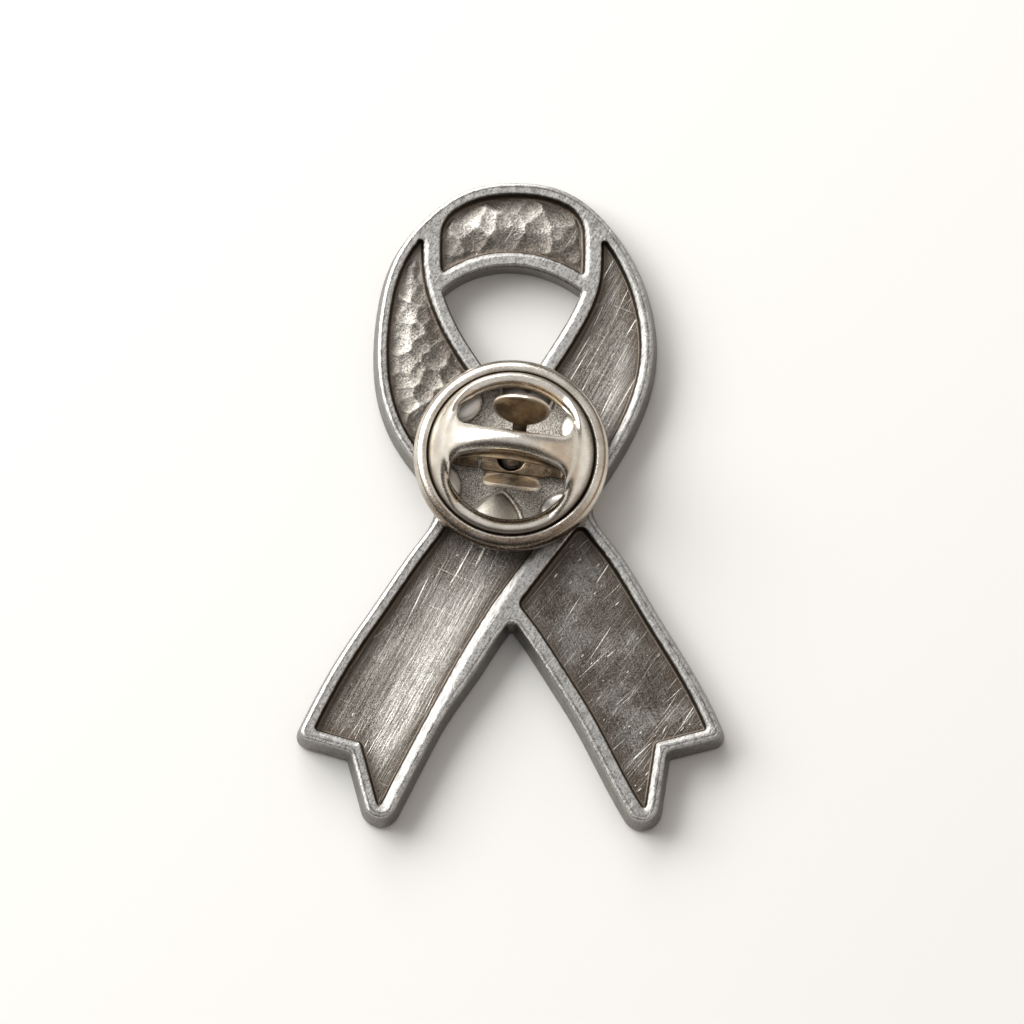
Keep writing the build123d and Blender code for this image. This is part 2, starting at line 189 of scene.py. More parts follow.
def ring_points(loops, offsets, spacing):
    """Points at given distances from some loops, negative inside them, with those that crowd left out."""
    nearest_share, slack = 0.97, 0.012
    rings = []
    for loop in loops:
        base = resampled(loop, spacing)
        normal = outward(base)
        for offset in offsets:
            moved = base + normal * offset
            rings.append(moved[distances(moved, loops) > abs(offset) * nearest_share - slack])
    return np.vstack(rings)


def grid_points(loop, spacing, rng, jitter=0.18):
    """Points in a loosened hexagonal grid over a loop's box."""
    row_pitch = 0.866
    low, high = loop.min(0), loop.max(0)
    points = []
    for number, y in enumerate(np.arange(low[1], high[1], spacing * row_pitch)):
        x = np.arange(low[0] + (number % 2) * spacing / 2, high[0], spacing)
        points.append(np.stack([x, np.full_like(x, y)], axis=1))
    points = np.vstack(points)
    return points + rng.uniform(-jitter, jitter, points.shape) * spacing


def thinned(points, fixed, gap):
    """Points of the first set that lie at least a gap from the fixed ones."""
    tree = search_tree(fixed)
    return points[[tree.find((x, y, 0))[2] > gap for x, y in points]]


def triangulated(loops, extra):
    """A Delaunay mesh inside the first loop and outside the others, and where the given points went in it."""
    points = [tuple(p) for loop in loops for p in loop] + [tuple(p) for p in extra]
    edges = []
    start = 0
    for loop in loops:
        count = len(loop)
        edges += [(start + i, start + (i + 1) % count) for i in range(count)]
        start += count
    verts, _, faces, orig, _, _ = delaunay_2d_cdt([Vector(p) for p in points], edges, [], 0, 1e-5)
    verts = np.array([tuple(v) for v in verts])
    faces = np.array([f for f in faces if len(f) == 3])
    middles = verts[faces].mean(axis=1)
    keep = inside(middles, loops[0])
    for loop in loops[1:]:
        keep &= ~inside(middles, loop)
    faces = faces[keep]
    a, b, c = verts[faces[:, 0]], verts[faces[:, 1]], verts[faces[:, 2]]
    turn = (b[:, 0] - a[:, 0]) * (c[:, 1] - a[:, 1]) - (b[:, 1] - a[:, 1]) * (c[:, 0] - a[:, 0])
    faces[turn < 0] = faces[turn < 0][:, ::-1]
    place = {}
    for new, olds in enumerate(orig):
        for old in olds:
            place[old] = new
    return verts, faces, place


def add_band(parts, faces, row, ring, order):
    """Join a row of point numbers to a new ring of points, and give that ring's numbers."""
    new_row = sum(len(part) for part in parts) + np.arange(len(ring))
    ahead = np.roll(np.arange(len(ring)), -1)
    corners = (row, new_row, new_row[ahead], row[ahead])
    parts.append(ring)
    faces.append(np.column_stack([corners[i] for i in order]))
    return new_row


def new_object(name, verts, faces):
    """A mesh object from points in millimetres."""
    mesh = bpy.data.meshes.new(name)
    mesh.from_pydata([tuple(np.array(v) * MM) for v in verts], [], [tuple(int(i) for i in f) for f in faces])
    mesh.validate()
    mesh.polygons.foreach_set("use_smooth", [True] * len(mesh.polygons))
    mesh.update()
    obj = bpy.data.objects.new(name, mesh)
    bpy.context.scene.collection.objects.link(obj)
    return obj


def add_value(obj, name, values):
    """A number for each point of a mesh, for its material to read."""
    layer = obj.data.attributes.new(name, "FLOAT", "POINT")
    layer.data.foreach_set("value", np.asarray(values, dtype=np.float32))


def welded(obj, merge=1e-6):
    """The object with doubled points merged and its faces turned outwards and shaded smooth."""
    weld = bmesh.new()
    weld.from_mesh(obj.data)
    bmesh.ops.remove_doubles(weld, verts=weld.verts, dist=merge)
    bmesh.ops.recalc_face_normals(weld, faces=weld.faces)
    weld.to_mesh(obj.data)
    weld.free()
    obj.data.polygons.foreach_set("use_smooth", [True] * len(obj.data.polygons))
    return obj


def baked(obj):
    """The object with its modifiers made part of its mesh."""
    depsgraph = bpy.context.evaluated_depsgraph_get()
    mesh = bpy.data.meshes.new_from_object(obj.evaluated_get(depsgraph))
    obj.modifiers.clear()
    obj.data = mesh
    return obj


def thickened(obj, thickness, offset=0):
    """A surface given the thickness of its sheet metal, about it or, at an offset of -1, behind it."""
    solid = obj.modifiers.new("sheet", "SOLIDIFY")
    solid.thickness = thickness * MM
    solid.offset = offset
    return obj


def rounded_sheet(obj, thickness, bevel):
    """A surface as sheet metal with rounded edges."""
    thickened(obj, thickness)
    edge = obj.modifiers.new("edge", "BEVEL")
    edge.width = bevel * MM
    edge.segments = 3
    edge.limit_method = "ANGLE"
    edge.angle_limit = math.radians(55)
    return baked(obj)


def on_post(obj):
    """The object moved from the clutch's own frame to the clutch's place on the post."""
    lift = Matrix.Translation(Vector((POST[0], POST[1], CLUTCH_LIFT)) * MM)
    obj.data.transform(lift @ Matrix.Rotation(CLUTCH_TURN, 4, "Z"))
    return obj


def turned(profile, segments, closed=False):
    """A mesh turned about Z from radii and heights; a closed profile joins its ends."""
    angles = np.linspace(0, 2 * math.pi, segments, endpoint=False)
    verts = [(r * math.cos(a), r * math.sin(a), z) for r, z in profile for a in angles]
    faces = []
    rows = len(profile)
    for i in range(rows if closed else rows - 1):
        above = (i + 1) % rows * segments
        for j in range(segments):
            ahead = (j + 1) % segments
            faces.append((i * segments + j, i * segments + ahead, above + ahead, above + j))
    return verts, faces


def uneven(x, y, seed, scale, octaves=3):
    """Smooth seeded unevenness between about -1 and 1, as a sum of crossed waves."""
    finer, weaker, waves = 1.9, 0.6, 4
    rng = np.random.default_rng(seed)
    total = np.zeros_like(x)
    size = 0.0
    for octave in range(octaves):
        for _ in range(waves):
            angle = rng.uniform(0, math.pi)
            reach = scale / (finer ** octave) * rng.uniform(0.75, 1.3)
            phase = rng.uniform(0, 2 * math.pi)
            along = x * math.cos(angle) + y * math.sin(angle)
            total += np.sin(2 * math.pi * along / reach + phase) * weaker ** octave
            size += weaker ** octave / 2
    return total / size


# The cast ribbon

# A point inside each loop that the rims leave open
SPOTS = {
    "hole": (0.0, 10.5), "arch": (0.0, 15.5), "left": (-6.0, 8.5),
    "strand": (-6.0, -8.0), "tail": (6.0, -8.0),
}
PANELS = ("arch", "left", "strand", "tail")
HAMMERED_PANELS = ("arch", "left")

# The outer wall and the hole's wall from the rim down to the front: distance from the loop, height
OUTER_PROFILE = [
    (0.030, 1.86), (0.065, 1.70), (0.115, 1.40), (0.17, 1.08), (0.22, 0.78), (0.265, 0.52), (0.295, 0.36),
    (0.292, 0.24), (0.262, 0.13), (0.20, 0.055), (0.11, 0.014), (-0.02, 0.0), (-0.35, 0.0),
]
HOLE_PROFILE = [
    (0.010, 1.86), (0.020, 1.74), (0.045, 1.70), (0.090, 1.685), (0.112, 1.65), (0.122, 1.50), (0.128, 1.05),
    (0.132, 0.70), (0.135, 0.38), (0.12, 0.2), (0.07, 0.07), (-0.02, 0.01), (-0.15, 0.0),
]

# Distances of the rings of points along the outline, the hole and the panels
OUTLINE_RINGS = [-0.03, -0.07, -0.12, -0.17, -0.22, -0.27]
HOLE_RINGS = [0.03, 0.07, 0.12, 0.18, 0.25, 0.33]
PANEL_RINGS = [0.62, 0.5, 0.4, 0.32, 0.25, 0.19, 0.14, 0.10, 0.065, 0.035, 0.0,
               -0.03, -0.06, -0.09, -0.125, -0.165, -0.21, -0.26, -0.33, -0.42]

# The side of the rims that handling has worn the most, which is also the side the key light comes from
WORN_AND_LIT_SIDE = np.array([-0.80, 0.60])

# Where handling has taken the dark finish off, and where painted sheen stands in for the panels' broad
# highlights: middle x and y, direction in degrees, length, width, amount
WORN_AND_SHEEN_PATCHES = [
    (-4.7, -9.4, 60, 4.2, 1.05, 1.3), (-6.8, -13.2, 62, 2.4, 0.7, 0.9), (-6.9, -8.6, 60, 2.8, 0.5, 0.35),
    (6.1, 7.0, 72, 2.8, 0.8, 0.42), (4.9, 4.2, 55, 2.0, 0.6, 0.6), (5.2, -7.2, -58, 3.2, 1.1, 0.22),
    (-6.9, 11.8, 80, 3.4, 0.85, 1.2), (-5.7, 14.2, 62, 2.0, 0.7, 1.2), (-6.8, 8.4, 80, 1.5, 0.6, 0.3),
    (-2.6, 17.4, 15, 2.2, 0.7, 0.9), (1.0, 17.2, -5, 2.4, 0.7, 0.6),
]


def ribbon_loops():
    """The ribbon's outline, and by name the loops inside it, at the height of its rims."""
    outline, *inner = flat_loops(*node_points("ribbon"), RIM_TOP)
    named = {}
    for name, spot in SPOTS.items():
        named[name] = next(loop for loop in inner if inside(np.array([spot]), loop)[0])
    return outline, named


outline, inner_loops = ribbon_loops()
hole = inner_loops["hole"]
panels = {name: inner_loops[name] for name in PANELS}


def hammered(x, y, seed, spacing, depth):
    """The height of a surface struck with a round hammer: hollows that meet in crisp ridges."""
    reach, margin, row_pitch, sharpness = 2.2, 2, 0.86, 240.0
    tilt, lift_share, bowl_share = 0.18, 0.12, 1.3
    rng = np.random.default_rng(seed)
    xs = np.arange(x.min() - margin, x.max() + margin, spacing)
    ys = np.arange(y.min() - margin, y.max() + margin, spacing * row_pitch)
    weights = np.zeros_like(x)
    total = np.zeros_like(x)
    for number, row in enumerate(ys):
        for column in xs:
            dx = x - (column + (number % 2) * spacing / 2 + rng.uniform(-0.32, 0.32) * spacing)
            dy = y - (row + rng.uniform(-0.3, 0.3) * spacing)
            tilt_x, tilt_y, lift, bowl = rng.uniform(-tilt, tilt, 4)
            away = dx * dx + dy * dy
            near = away < (reach * spacing) ** 2
            level = away[near] * (bowl * bowl_share + 1) * depth / (0.5 * spacing) ** 2
            level = level + lift * lift_share + tilt_x * dx[near] + tilt_y * dy[near]
            weight = np.exp(-sharpness * level)
            weights[near] += weight
            total[near] += weight * level
    return total / np.maximum(weights, 1e-200)


def worn_and_sheen_places(x, y):
    """How far the panels are lightened, in long soft patches: the dark finish taken off by handling, and
    painted sheen.
    """
    total = np.zeros_like(x)
    for cx, cy, angle, length, width, amount in WORN_AND_SHEEN_PATCHES:
        a = math.radians(angle)
        along = ((x - cx) * math.cos(a) + (y - cy) * math.sin(a)) / length
        across = ((y - cy) * math.cos(a) - (x - cx) * math.sin(a)) / width
        total += amount * np.exp(-(along**2 + across**2) * 0.8)
    return np.clip(total, 0, 1)


def shoulder(away, into, narrow, wide):
    """How far a rim has dropped at a distance from its edge: a slope of wear, wider on the side of most wear,
    where the key light comes from.
    """
    steep, turn = math.radians(33.0), 0.85
    width = narrow + (wide - narrow) * smooth(-0.05, 0.75, into @ WORN_AND_LIT_SIDE)
    share = np.clip(1 - away / width, 0, 1)
    run = np.where(share < turn, share**2 / (2 * turn), share - turn / 2)
    return width * math.tan(steep) * run


def ribbon_plan():
    """The ribbon's plan: the points of its outline and of its hole, and the mesh between them."""
    rng = np.random.default_rng(11)
    outer, hole_edge = resampled(outline, 0.15), resampled(hole, 0.12)
    rings = [
        ring_points([outline], OUTLINE_RINGS, 0.15),
        ring_points([hole], HOLE_RINGS, 0.12),
        ring_points(list(panels.values()), PANEL_RINGS, 0.14),
    ]
    fixed = np.vstack([outer, hole_edge] + rings)
    coarse = thinned(grid_points(outline, 0.21, rng), fixed, 0.12)
    fine = []
    for loop in (panels[name] for name in HAMMERED_PANELS):
        grid = grid_points(loop, 0.085, rng)
        fine.append(thinned(grid[inside(grid, loop)], fixed, 0.05))
        coarse = coarse[~inside(coarse, loop)]
    points = np.vstack(rings + [coarse] + fine)
    margin = distances(points, [outline, hole])
    points = points[inside(points, outline) & ~inside(points, hole) & (margin > 0.03)]
    return outer, hole_edge, triangulated([outer, hole_edge], points)


def ribbon_surface(verts):
    """The ribbon's back over the points of its plan, and the values that its material reads there."""
    x, y = verts[:, 0], verts[:, 1]
    to_edge, from_edge = nearest(verts, [outline])
    to_hole, into_hole = nearest(verts, [hole])
    to_panel, into_panel = nearest(verts, list(panels.values()))
    within = {name: inside(verts, loop) for name, loop in panels.items()}
    sunk = np.any(list(within.values()), axis=0)
    beaten = within["arch"] | within["left"]
    depth = np.where(sunk, to_panel, -to_panel)

    # The rims with their worn edges, and the panels' walls and floors
    inner_tail = smooth(-3.0, -6.0, y) * (x < 1.2) * (into_panel @ WORN_AND_LIT_SIDE > 0.2)
    wide = 0.33 + 0.25 * inner_tail
    panel_edge = shoulder(np.maximum(-depth, 0), into_panel, 0.07, wide)
    hole_edge = shoulder(to_hole, into_hole, 0.05, 0.30)
    rim = RIM_TOP - np.maximum.reduce([panel_edge, hole_edge, shoulder(to_edge, -from_edge, 0.07, 0.20)])
    wall_top = RIM_TOP - shoulder(np.zeros_like(depth), into_panel, 0.07, wide)
    fall = 1 - (1 - np.clip(depth / 0.19, 0, 1)) ** 2.0
    z = np.where(sunk, wall_top + (FLOOR - wall_top) * fall, rim)

    # The hammered floors bulge, the brushed ones are a little hollow, and the rims are uneven
    on_floor = smooth(0.13, 0.42, depth)
    blows = np.where(within["left"], hammered(x, y, 6, 0.92, 0.055), hammered(x, y, 5, 1.06, 0.055))
    hammer = beaten * on_floor
    z += hammer * (blows - 0.05 + 0.17 * smooth(0.15, 1.7, depth))
    hollow = 0.05 * smooth(0.2, 1.9, depth)
    z += (sunk & ~beaten) * on_floor * (0.016 * uneven(x, y, 3, 4.5) - hollow)
    from_edges = np.minimum(np.minimum(to_edge, to_hole), -depth)
    z += ~sunk * smooth(0.0, 0.25, from_edges) * 0.010 * uneven(x, y, 8, 1.9)
    z = np.minimum(z, RIM_TOP)

    facing = smooth(-0.1, 0.6, into_panel @ WORN_AND_LIT_SIDE)
    drop = np.maximum(panel_edge, hole_edge)
    values = {
        "floor": smooth(-0.02, 0.06, depth),
        "hammer": hammer,
        "strand": within["strand"] * smooth(0.1, 0.3, depth),
        "tail": within["tail"] * smooth(0.1, 0.3, depth),
        "crevice": smooth(-0.01, 0.03, depth) * smooth(0.14, 0.05, depth) * sunk,
        # foot: patina with painted shade at the foot of the walls, wider where a wall faces away from the key
        # light
        "foot": smooth(0.05, 0.10, depth) * smooth(0.32 - 0.08 * facing, 0.18, depth) * sunk,
        # darker towards the panels' walls: grime and painted shade
        "grime_and_shade": smooth(1.3, 0.1, depth) * sunk,
        "height": np.clip((blows + 0.02) / 0.13, 0, 1) * hammer,
        # lightened patches: wear, and painted sheen standing in for the floors' highlights
        "worn_and_sheen": worn_and_sheen_places(x, y),
        "polish": ~sunk * smooth(0.004, 0.03, drop) * (0.35 + 0.65 * facing),
        "seam": np.exp(-((to_edge - 0.22) / 0.035) ** 2) * smooth(0.08, 0.2, -depth),
    }
    return np.column_stack([x, y, z]), values


def ribbon_piece():
    """The cast ribbon: its worked back, its outer wall, the wall of its hole, and its plain front."""
    outer, hole_edge, (verts, faces, place) = ribbon_plan()
    back, values = ribbon_surface(verts)
    parts, all_faces, front = [back], [faces], []
    start = 0
    for loop, profile, sign, order in (
        (outer, OUTER_PROFILE, 1.0, (0, 1, 2, 3)),
        (hole_edge, HOLE_PROFILE, -1.0, (3, 2, 1, 0)),
    ):
        row = np.array([place[start + i] for i in range(len(loop))])
        start += len(loop)
        for offset, level in profile:
            moved = loop + outward(loop) * sign * offset
            ring = np.column_stack([moved, np.full(len(loop), level)])
            row = add_band(parts, all_faces, row, ring, order)
        front.append(moved)
    grid = grid_points(outline, 0.8, np.random.default_rng(12))
    grid = grid[inside(grid, front[0]) & ~inside(grid, front[1])]
    cap_verts, cap_faces, _ = triangulated(front, thinned(grid, np.vstack(front), 0.35))
    all_faces.append(cap_faces[:, ::-1] + sum(len(part) for part in parts))
    parts.append(np.column_stack([cap_verts, np.zeros(len(cap_verts))]))

    points = np.vstack(parts)
    obj = new_object("ribbon_casting", points, [tuple(f) for part in all_faces for f in part])
    rest = np.zeros(len(points) - len(verts))
    for name, value in values.items():
        add_value(obj, name, np.concatenate([value, rest]))
    add_value(obj, "side", np.concatenate([np.zeros(len(verts)), smooth(1.95, 1.6, points[len(verts):, 2])]))
    return welded(obj, 2e-6)


# The post in its blob of solder: radius, height, rounding
POST_CORNERS = [
    (1.12, 1.40, 0), (1.0, 1.50, 0.05), (0.80, 1.64, 0.1), (0.57, 1.86, 0.12), (0.57, 2.38, 0.02),
    (0.45, 2.46, 0.03), (0.45, 2.56, 0.03), (0.57, 2.66, 0.02), (0.57, 2.90, 0.08), (0.33, 3.18, 0.05),
    (0.22, 3.20, 0.02), (0.0, 3.20, 0),
]


def rounded_profile(corners, steps=5):
    """A chain of radii and heights from corners with a rounding each."""
    points = []
    for index, (r, z, rounding) in enumerate(corners):
        here = Vector((r, z))
        if rounding <= 0 or index in (0, len(corners) - 1):
            points.append((r, z))
            continue
        before = (Vector(corners[index - 1][:2]) - here).normalized() * rounding
        after = (Vector(corners[index + 1][:2]) - here).normalized() * rounding
        for step in range(steps + 1):
            t = step / steps
            point = (here + before) * (1 - t) ** 2 + here * 2 * t * (1 - t) + (here + after) * t**2
            points.append((point.x, point.y))
    return points


def post_piece():
    """The pin's post, with solder that swells unevenly round its foot."""
    verts, faces = turned(rounded_profile(POST_CORNERS), 96)
    lumps = []
    for x, y, z in verts:
        on_solder = smooth(1.85, 1.45, np.float64(z)) * (math.hypot(x, y) > 0.58)
        swell = 1 + 0.07 * math.sin(2 * math.atan2(y, x) + 0.7) * on_solder
        lumps.append((x * swell + POST[0], y * swell + POST[1], z))
    return welded(new_object("post_and_solder", lumps, faces))


# The clutch

LARGE_LEAVES = (84, 264)              # directions of the leaves pressed into the base, in degrees
SMALL_LEAVES = (29, 139, 209, 319)
LEAF_POINT, LEAF_BROAD = 2.05, 3.95   # how far out a large leaf's point lies, and where it is broadest
LEAF_HALF = 1.62                      # half its width there
SMALL_LEAF_MIDDLE = 4.3               # how far out the middle of a small leaf lies
PAD_HEIGHT, SMALL_PAD_HEIGHT = 0.36, 0.26
RIDGE_HEIGHT, SMALL_RIDGE_HEIGHT = 0.13, 0.07

# The shell's outer edge, the radii of its rings of points, and the distances of those round its windows
SHELL_RADIUS = 5.40
SHELL_RINGS = (5.2, 5.1, 5.02, 4.965, 4.93, 4.905, 4.87, 4.83, 4.77, 4.70, 4.63, 4.56, 4.49, 4.42, 4.35, 4.28)
WINDOW_RINGS = [0.035, 0.08, 0.13, 0.19, 0.26, 0.34, 0.43, 0.53]

# A window's edge, rolled in and down: distance from the window's outline, share of the edge's depth
ROLLED_EDGE = ((0.03, 0.04), (0.07, 0.12), (0.115, 0.26), (0.15, 0.46), (0.165, 0.7), (0.16, 1.0))


def arc_points(center, radius, start, end, steps):
    """Points of an arc about a middle, from one angle in degrees to another."""
    angles = [math.radians(start + (end - start) * i / steps) for i in range(steps + 1)]
    return [(center[0] + radius * math.cos(a), center[1] + radius * math.sin(a)) for a in angles]


def along_across(x, y, angle):
    """Places measured along a direction in degrees, and across it."""
    a = math.radians(angle)
    return x * math.cos(a) + y * math.sin(a), -x * math.sin(a) + y * math.cos(a)


def pressed_leaves(x, y):
    """The leaves' height over the base's floor, and masks of all of them, of the small ones, and of the
    painted shade in their slits.
    """
    lift, leaf, small, slit_shade = (np.zeros_like(x) for _ in range(4))
    for angle in LARGE_LEAVES:
        along, across = along_across(x, y, angle)
        t = np.clip((along - LEAF_POINT) / (LEAF_BROAD - LEAF_POINT), 0.0, 1.0)
        gap = (LEAF_HALF * np.sin(t * math.pi / 2) ** 0.8 - np.abs(across)) * np.minimum(1.0, 0.55 + 0.5 * t)
        gap = np.where(along < LEAF_POINT, -np.hypot(along - LEAF_POINT, across), gap)
        ball = 1 - (across / 1.56) ** 2 - ((along - 4.4) / 2.35) ** 2
        pad = PAD_HEIGHT * np.clip(ball, 0, 1) ** 0.7 * smooth(0.05, 0.24, gap)
        ridge = RIDGE_HEIGHT * np.exp(-(gap / 0.06) ** 2)
        lift = np.maximum(lift, np.maximum(pad, ridge))
        leaf = np.maximum(leaf, smooth(0.02, 0.14, gap))
    for angle in SMALL_LEAVES:
        along, across = along_across(x, y, angle)
        gap = 1.0 - np.sqrt((along - SMALL_LEAF_MIDDLE) ** 2 + (across / 1.2) ** 2)
        pad = SMALL_PAD_HEIGHT * np.sqrt(1 - (1 - np.clip((gap - 0.05) / 0.95, 0, 1)) ** 2)
        ridge = SMALL_RIDGE_HEIGHT * np.exp(-(gap / 0.05) ** 2)
        lift = np.maximum(lift, np.maximum(pad, ridge))
        small = np.maximum(small, smooth(0.02, 0.14, gap))
        # painted shade: a thin dark ring just outside each small leaf, where a slit would be
        slit_shade = np.maximum(slit_shade, np.exp(-((gap + 0.06) / 0.05) ** 2))
    return lift, np.maximum(leaf, small), small, slit_shade


def base_profile(floor_z, sheet):
    """The base's section: its underside, its wall, its rolled rim, and back along its inside."""
    roll_r, roll_z = RIM_RADIUS - RIM_ROLL, RIM_HEIGHT - RIM_ROLL
    wall_top = 0.85
    points = [(0.83, 0.03), (0.87, 0.0), (1.4, 0.0), (2.6, 0.0), (3.8, 0.0), (4.6, 0.0)]
    points += arc_points((5.05, 0.7), 0.7, -90, 0, 9)
    points += [(RIM_RADIUS, wall_top)]
    points += arc_points((roll_r, roll_z), RIM_ROLL, 0, 90, 14)
    points += [(roll_r - 0.04, RIM_HEIGHT - 0.004)]
    points += arc_points((roll_r - 0.08, RIM_HEIGHT - sheet / 2), sheet / 2 - 0.01, 90, 270, 6)
    points += arc_points((roll_r, roll_z), RIM_ROLL - sheet, 90, 0, 8)
    points += [(RIM_RADIUS - sheet, wall_top)]
    points += arc_points((5.13, 0.7), 0.4, 0, -90, 8)
    points += [(r, floor_z) for r in np.arange(5.05, 0.93, -0.085)]
    return points + [(0.88, floor_z - 0.005), (0.84, floor_z - 0.04), (0.83, floor_z - 0.08)]


def base_piece():
    """The clutch's base pan with its rolled rim and the leaves pressed into its floor."""
    floor_z = 0.30
    verts, faces = turned(base_profile(floor_z, 0.22), 300, closed=True)
    verts = np.array(verts)
    x, y, z = verts.T
    reach = np.hypot(x, y)
    on_floor = (z > floor_z - 0.02) & (z < 0.62) & (reach < 5.45) & (reach > 0.95)
    lift, leaf, small, slit_shade = pressed_leaves(x, y)
    z += on_floor * lift * smooth(5.42, 4.95, reach)
    # painted reflection: the rim's side towards the tails painted dark brown, as the dark room's reflection
    tail_side = smooth(0.20, 0.85, -np.sin(np.arctan2(y, x) + CLUTCH_TURN + 0.12))
    reflection_bands = smooth(5.10, 5.18, reach) * smooth(5.50, 5.42, reach) + smooth(5.56, 5.62, reach)
    in_groove = smooth(RIM_HEIGHT - 0.05, RIM_HEIGHT - 0.14, z) * (reach < 5.54) * (z > 0.65)
    values = {
        "leaf": leaf * on_floor,
        "small_leaf": small * on_floor,
        "slit_shade": slit_shade * on_floor,
        "floor": on_floor.astype(float) * smooth(5.3, 5.0, reach),
        "low": smooth(0.95, 0.3, z) * (reach > 4.5),
        "under": tail_side * reflection_bands * (z > 0.5),
        "groove": in_groove,
    }
    obj = new_object("clutch_base_pan", verts, faces)
    for name, value in values.items():
        add_value(obj, name, value)
    return on_post(welded(obj))


def fillet_loop(corners, radius, steps=9):
    """A closed loop with the given corners rounded; the other points are kept."""
    out = []
    count = len(corners)
    for index, (x, y, is_corner) in enumerate(corners):
        here = Vector((x, y))
        if not is_corner:
            out.append((x, y))
            continue
        into = (Vector(corners[index - 1][:2]) - here).normalized()
        away = (Vector(corners[(index + 1) % count][:2]) - here).normalized()
        half = into.angle(away) / 2
        reach = radius / math.tan(half)
        center = here + (into + away).normalized() * (radius / math.sin(half))
        first = here + into * reach - center
        turn = first.angle_signed(here + away * reach - center)
        for step in range(steps + 1):
            out.append(tuple(center + Matrix.Rotation(-turn * step / steps, 2) @ first))
    return np.array(out)


def window_loop(side):
    """The outline of one window of the shell."""
    reach, near = WINDOW_REACH, BRIDGE_HALF
    start = math.acos(reach / BEAD_INNER)
    low, high = near + BRIDGE_FLARE, math.sqrt(BEAD_INNER**2 - reach**2)
    ball = (reach**2 + BRIDGE_FLARE**2) / (2 * BRIDGE_FLARE)
    xs = np.linspace(-reach + 0.7, reach - 0.7, 60)
    angles = np.linspace(start + 0.12, math.pi - start - 0.12, 80)
    ring = [(-reach, low, True)] + [(x, near + ball - math.sqrt(ball**2 - x**2), False) for x in xs]
    ring += [(reach, low, True), (reach, high, True)]
    ring += [(BEAD_INNER * math.cos(a), BEAD_INNER * math.sin(a), False) for a in angles]
    ring += [(-reach, high, True)]
    return resampled(fillet_loop(ring, WINDOW_ROUND) * (1 if side > 0 else -1), 0.075)


def shell_height(x, y, windows):
    """The drawn shell's height above the clutch's bottom, and each point's distance from a window."""
    reach = np.hypot(x, y)
    dome = DOME_HEIGHT * np.clip(1 - (reach / BEAD_OUTER) ** 2, 0, 1) ** 0.66
    crest, half, top = 4.60, 0.35, 0.48
    ring = top * np.sqrt(np.clip(1 - (np.maximum(reach - crest, 0) / half) ** 2, 0, 1))
    ring = np.where(reach < crest, top - 0.35 * (crest - reach) ** 2, ring)
    ringed = smooth(BEAD_INNER - 0.45, BEAD_INNER - 0.02, reach) * (1 - smooth(2.55, 4.15, np.abs(x)))
    mixed = dome * (1 - ringed) + ring * ringed
    away = distances(np.column_stack([x, y]), windows)
    width = 0.62 * (1 - ringed) + 0.22 * ringed
    left = np.clip(1 - away / width, 0, 1)
    drop = width * (0.25 * left**1.6 + 0.28 * left**3)
    return GROOVE + mixed - drop, away


def shell_piece():
    """The drawn shell: the dome with its two windows, their edges turned in, and the bead round its foot."""
    rng = np.random.default_rng(21)
    windows = [window_loop(1), window_loop(-1)]
    rim = circle(SHELL_RADIUS, 420)
    rings = [ring_points(windows, WINDOW_RINGS, 0.08)] + [circle(radius, 420) for radius in SHELL_RINGS]
    grid = thinned(grid_points(rim, 0.13, rng), np.vstack([rim] + windows + rings), 0.065)
    points = np.vstack(rings + [grid])
    outside = ~inside(points, windows[0]) & ~inside(points, windows[1])
    points = points[outside & (np.hypot(points[:, 0], points[:, 1]) < SHELL_RADIUS - 0.02)]
    points = points[distances(points, windows) > 0.02]
    verts, faces, place = triangulated([rim] + windows, points)
    reach = np.hypot(verts[:, 0], verts[:, 1])
    z, away = shell_height(verts[:, 0], verts[:, 1], windows)
    flange = GROOVE - 0.14
    z = flange + (z - flange) * smooth(BEAD_OUTER + 0.03, BEAD_OUTER - 0.03, reach)

    parts, all_faces, lips = [np.column_stack([verts, z])], [faces], []
    start = len(rim)
    for loop in windows:
        row = np.array([place[start + i] for i in range(len(loop))])
        start += len(loop)
        top = z[row]
        deep = np.clip((top - GROOVE) * 0.5, 0.22, 0.8)
        roll = 0.25 + 0.75 * (1 - smooth(0.5, 1.4, top - GROOVE))
        for inward, share in ROLLED_EDGE:
            moved = loop - outward(loop) * (inward * roll)[:, None]
            row = add_band(parts, all_faces, row, np.column_stack([moved, top - deep * share]), (0, 3, 2, 1))
            lips.append(np.full(len(loop), share))
    obj = new_object("clutch_shell_dome", np.vstack(parts), [tuple(f) for part in all_faces for f in part])
    # foot: dark in the groove, and painted shade on the lower slope of the bead
    foot = 0.5 * smooth(4.50, 4.86, reach) + 0.5 * smooth(4.83, 4.92, reach)
    # lip: painted shade inside the turned-in edges of the windows
    add_value(obj, "lip", np.concatenate([smooth(0.12, 0.0, away) * 0.3] + lips))
    add_value(obj, "foot", np.concatenate([foot] + [lip * 0 for lip in lips]))
    return on_post(welded(baked(thickened(obj, 0.2, -1))))


def strip_piece(name, grid, thickness, bevel):
    """A strip of sheet metal with rounded edges, from rows of points of its middle surface."""
    rows, columns = len(grid), len(grid[0])
    faces = []
    for i in range(rows - 1):
        for j in range(columns - 1):
            a = i * columns + j
            faces.append((a, a + 1, a + columns + 1, a + columns))
    return welded(rounded_sheet(new_object(name, [p for row in grid for p in row], faces), thickness, bevel))


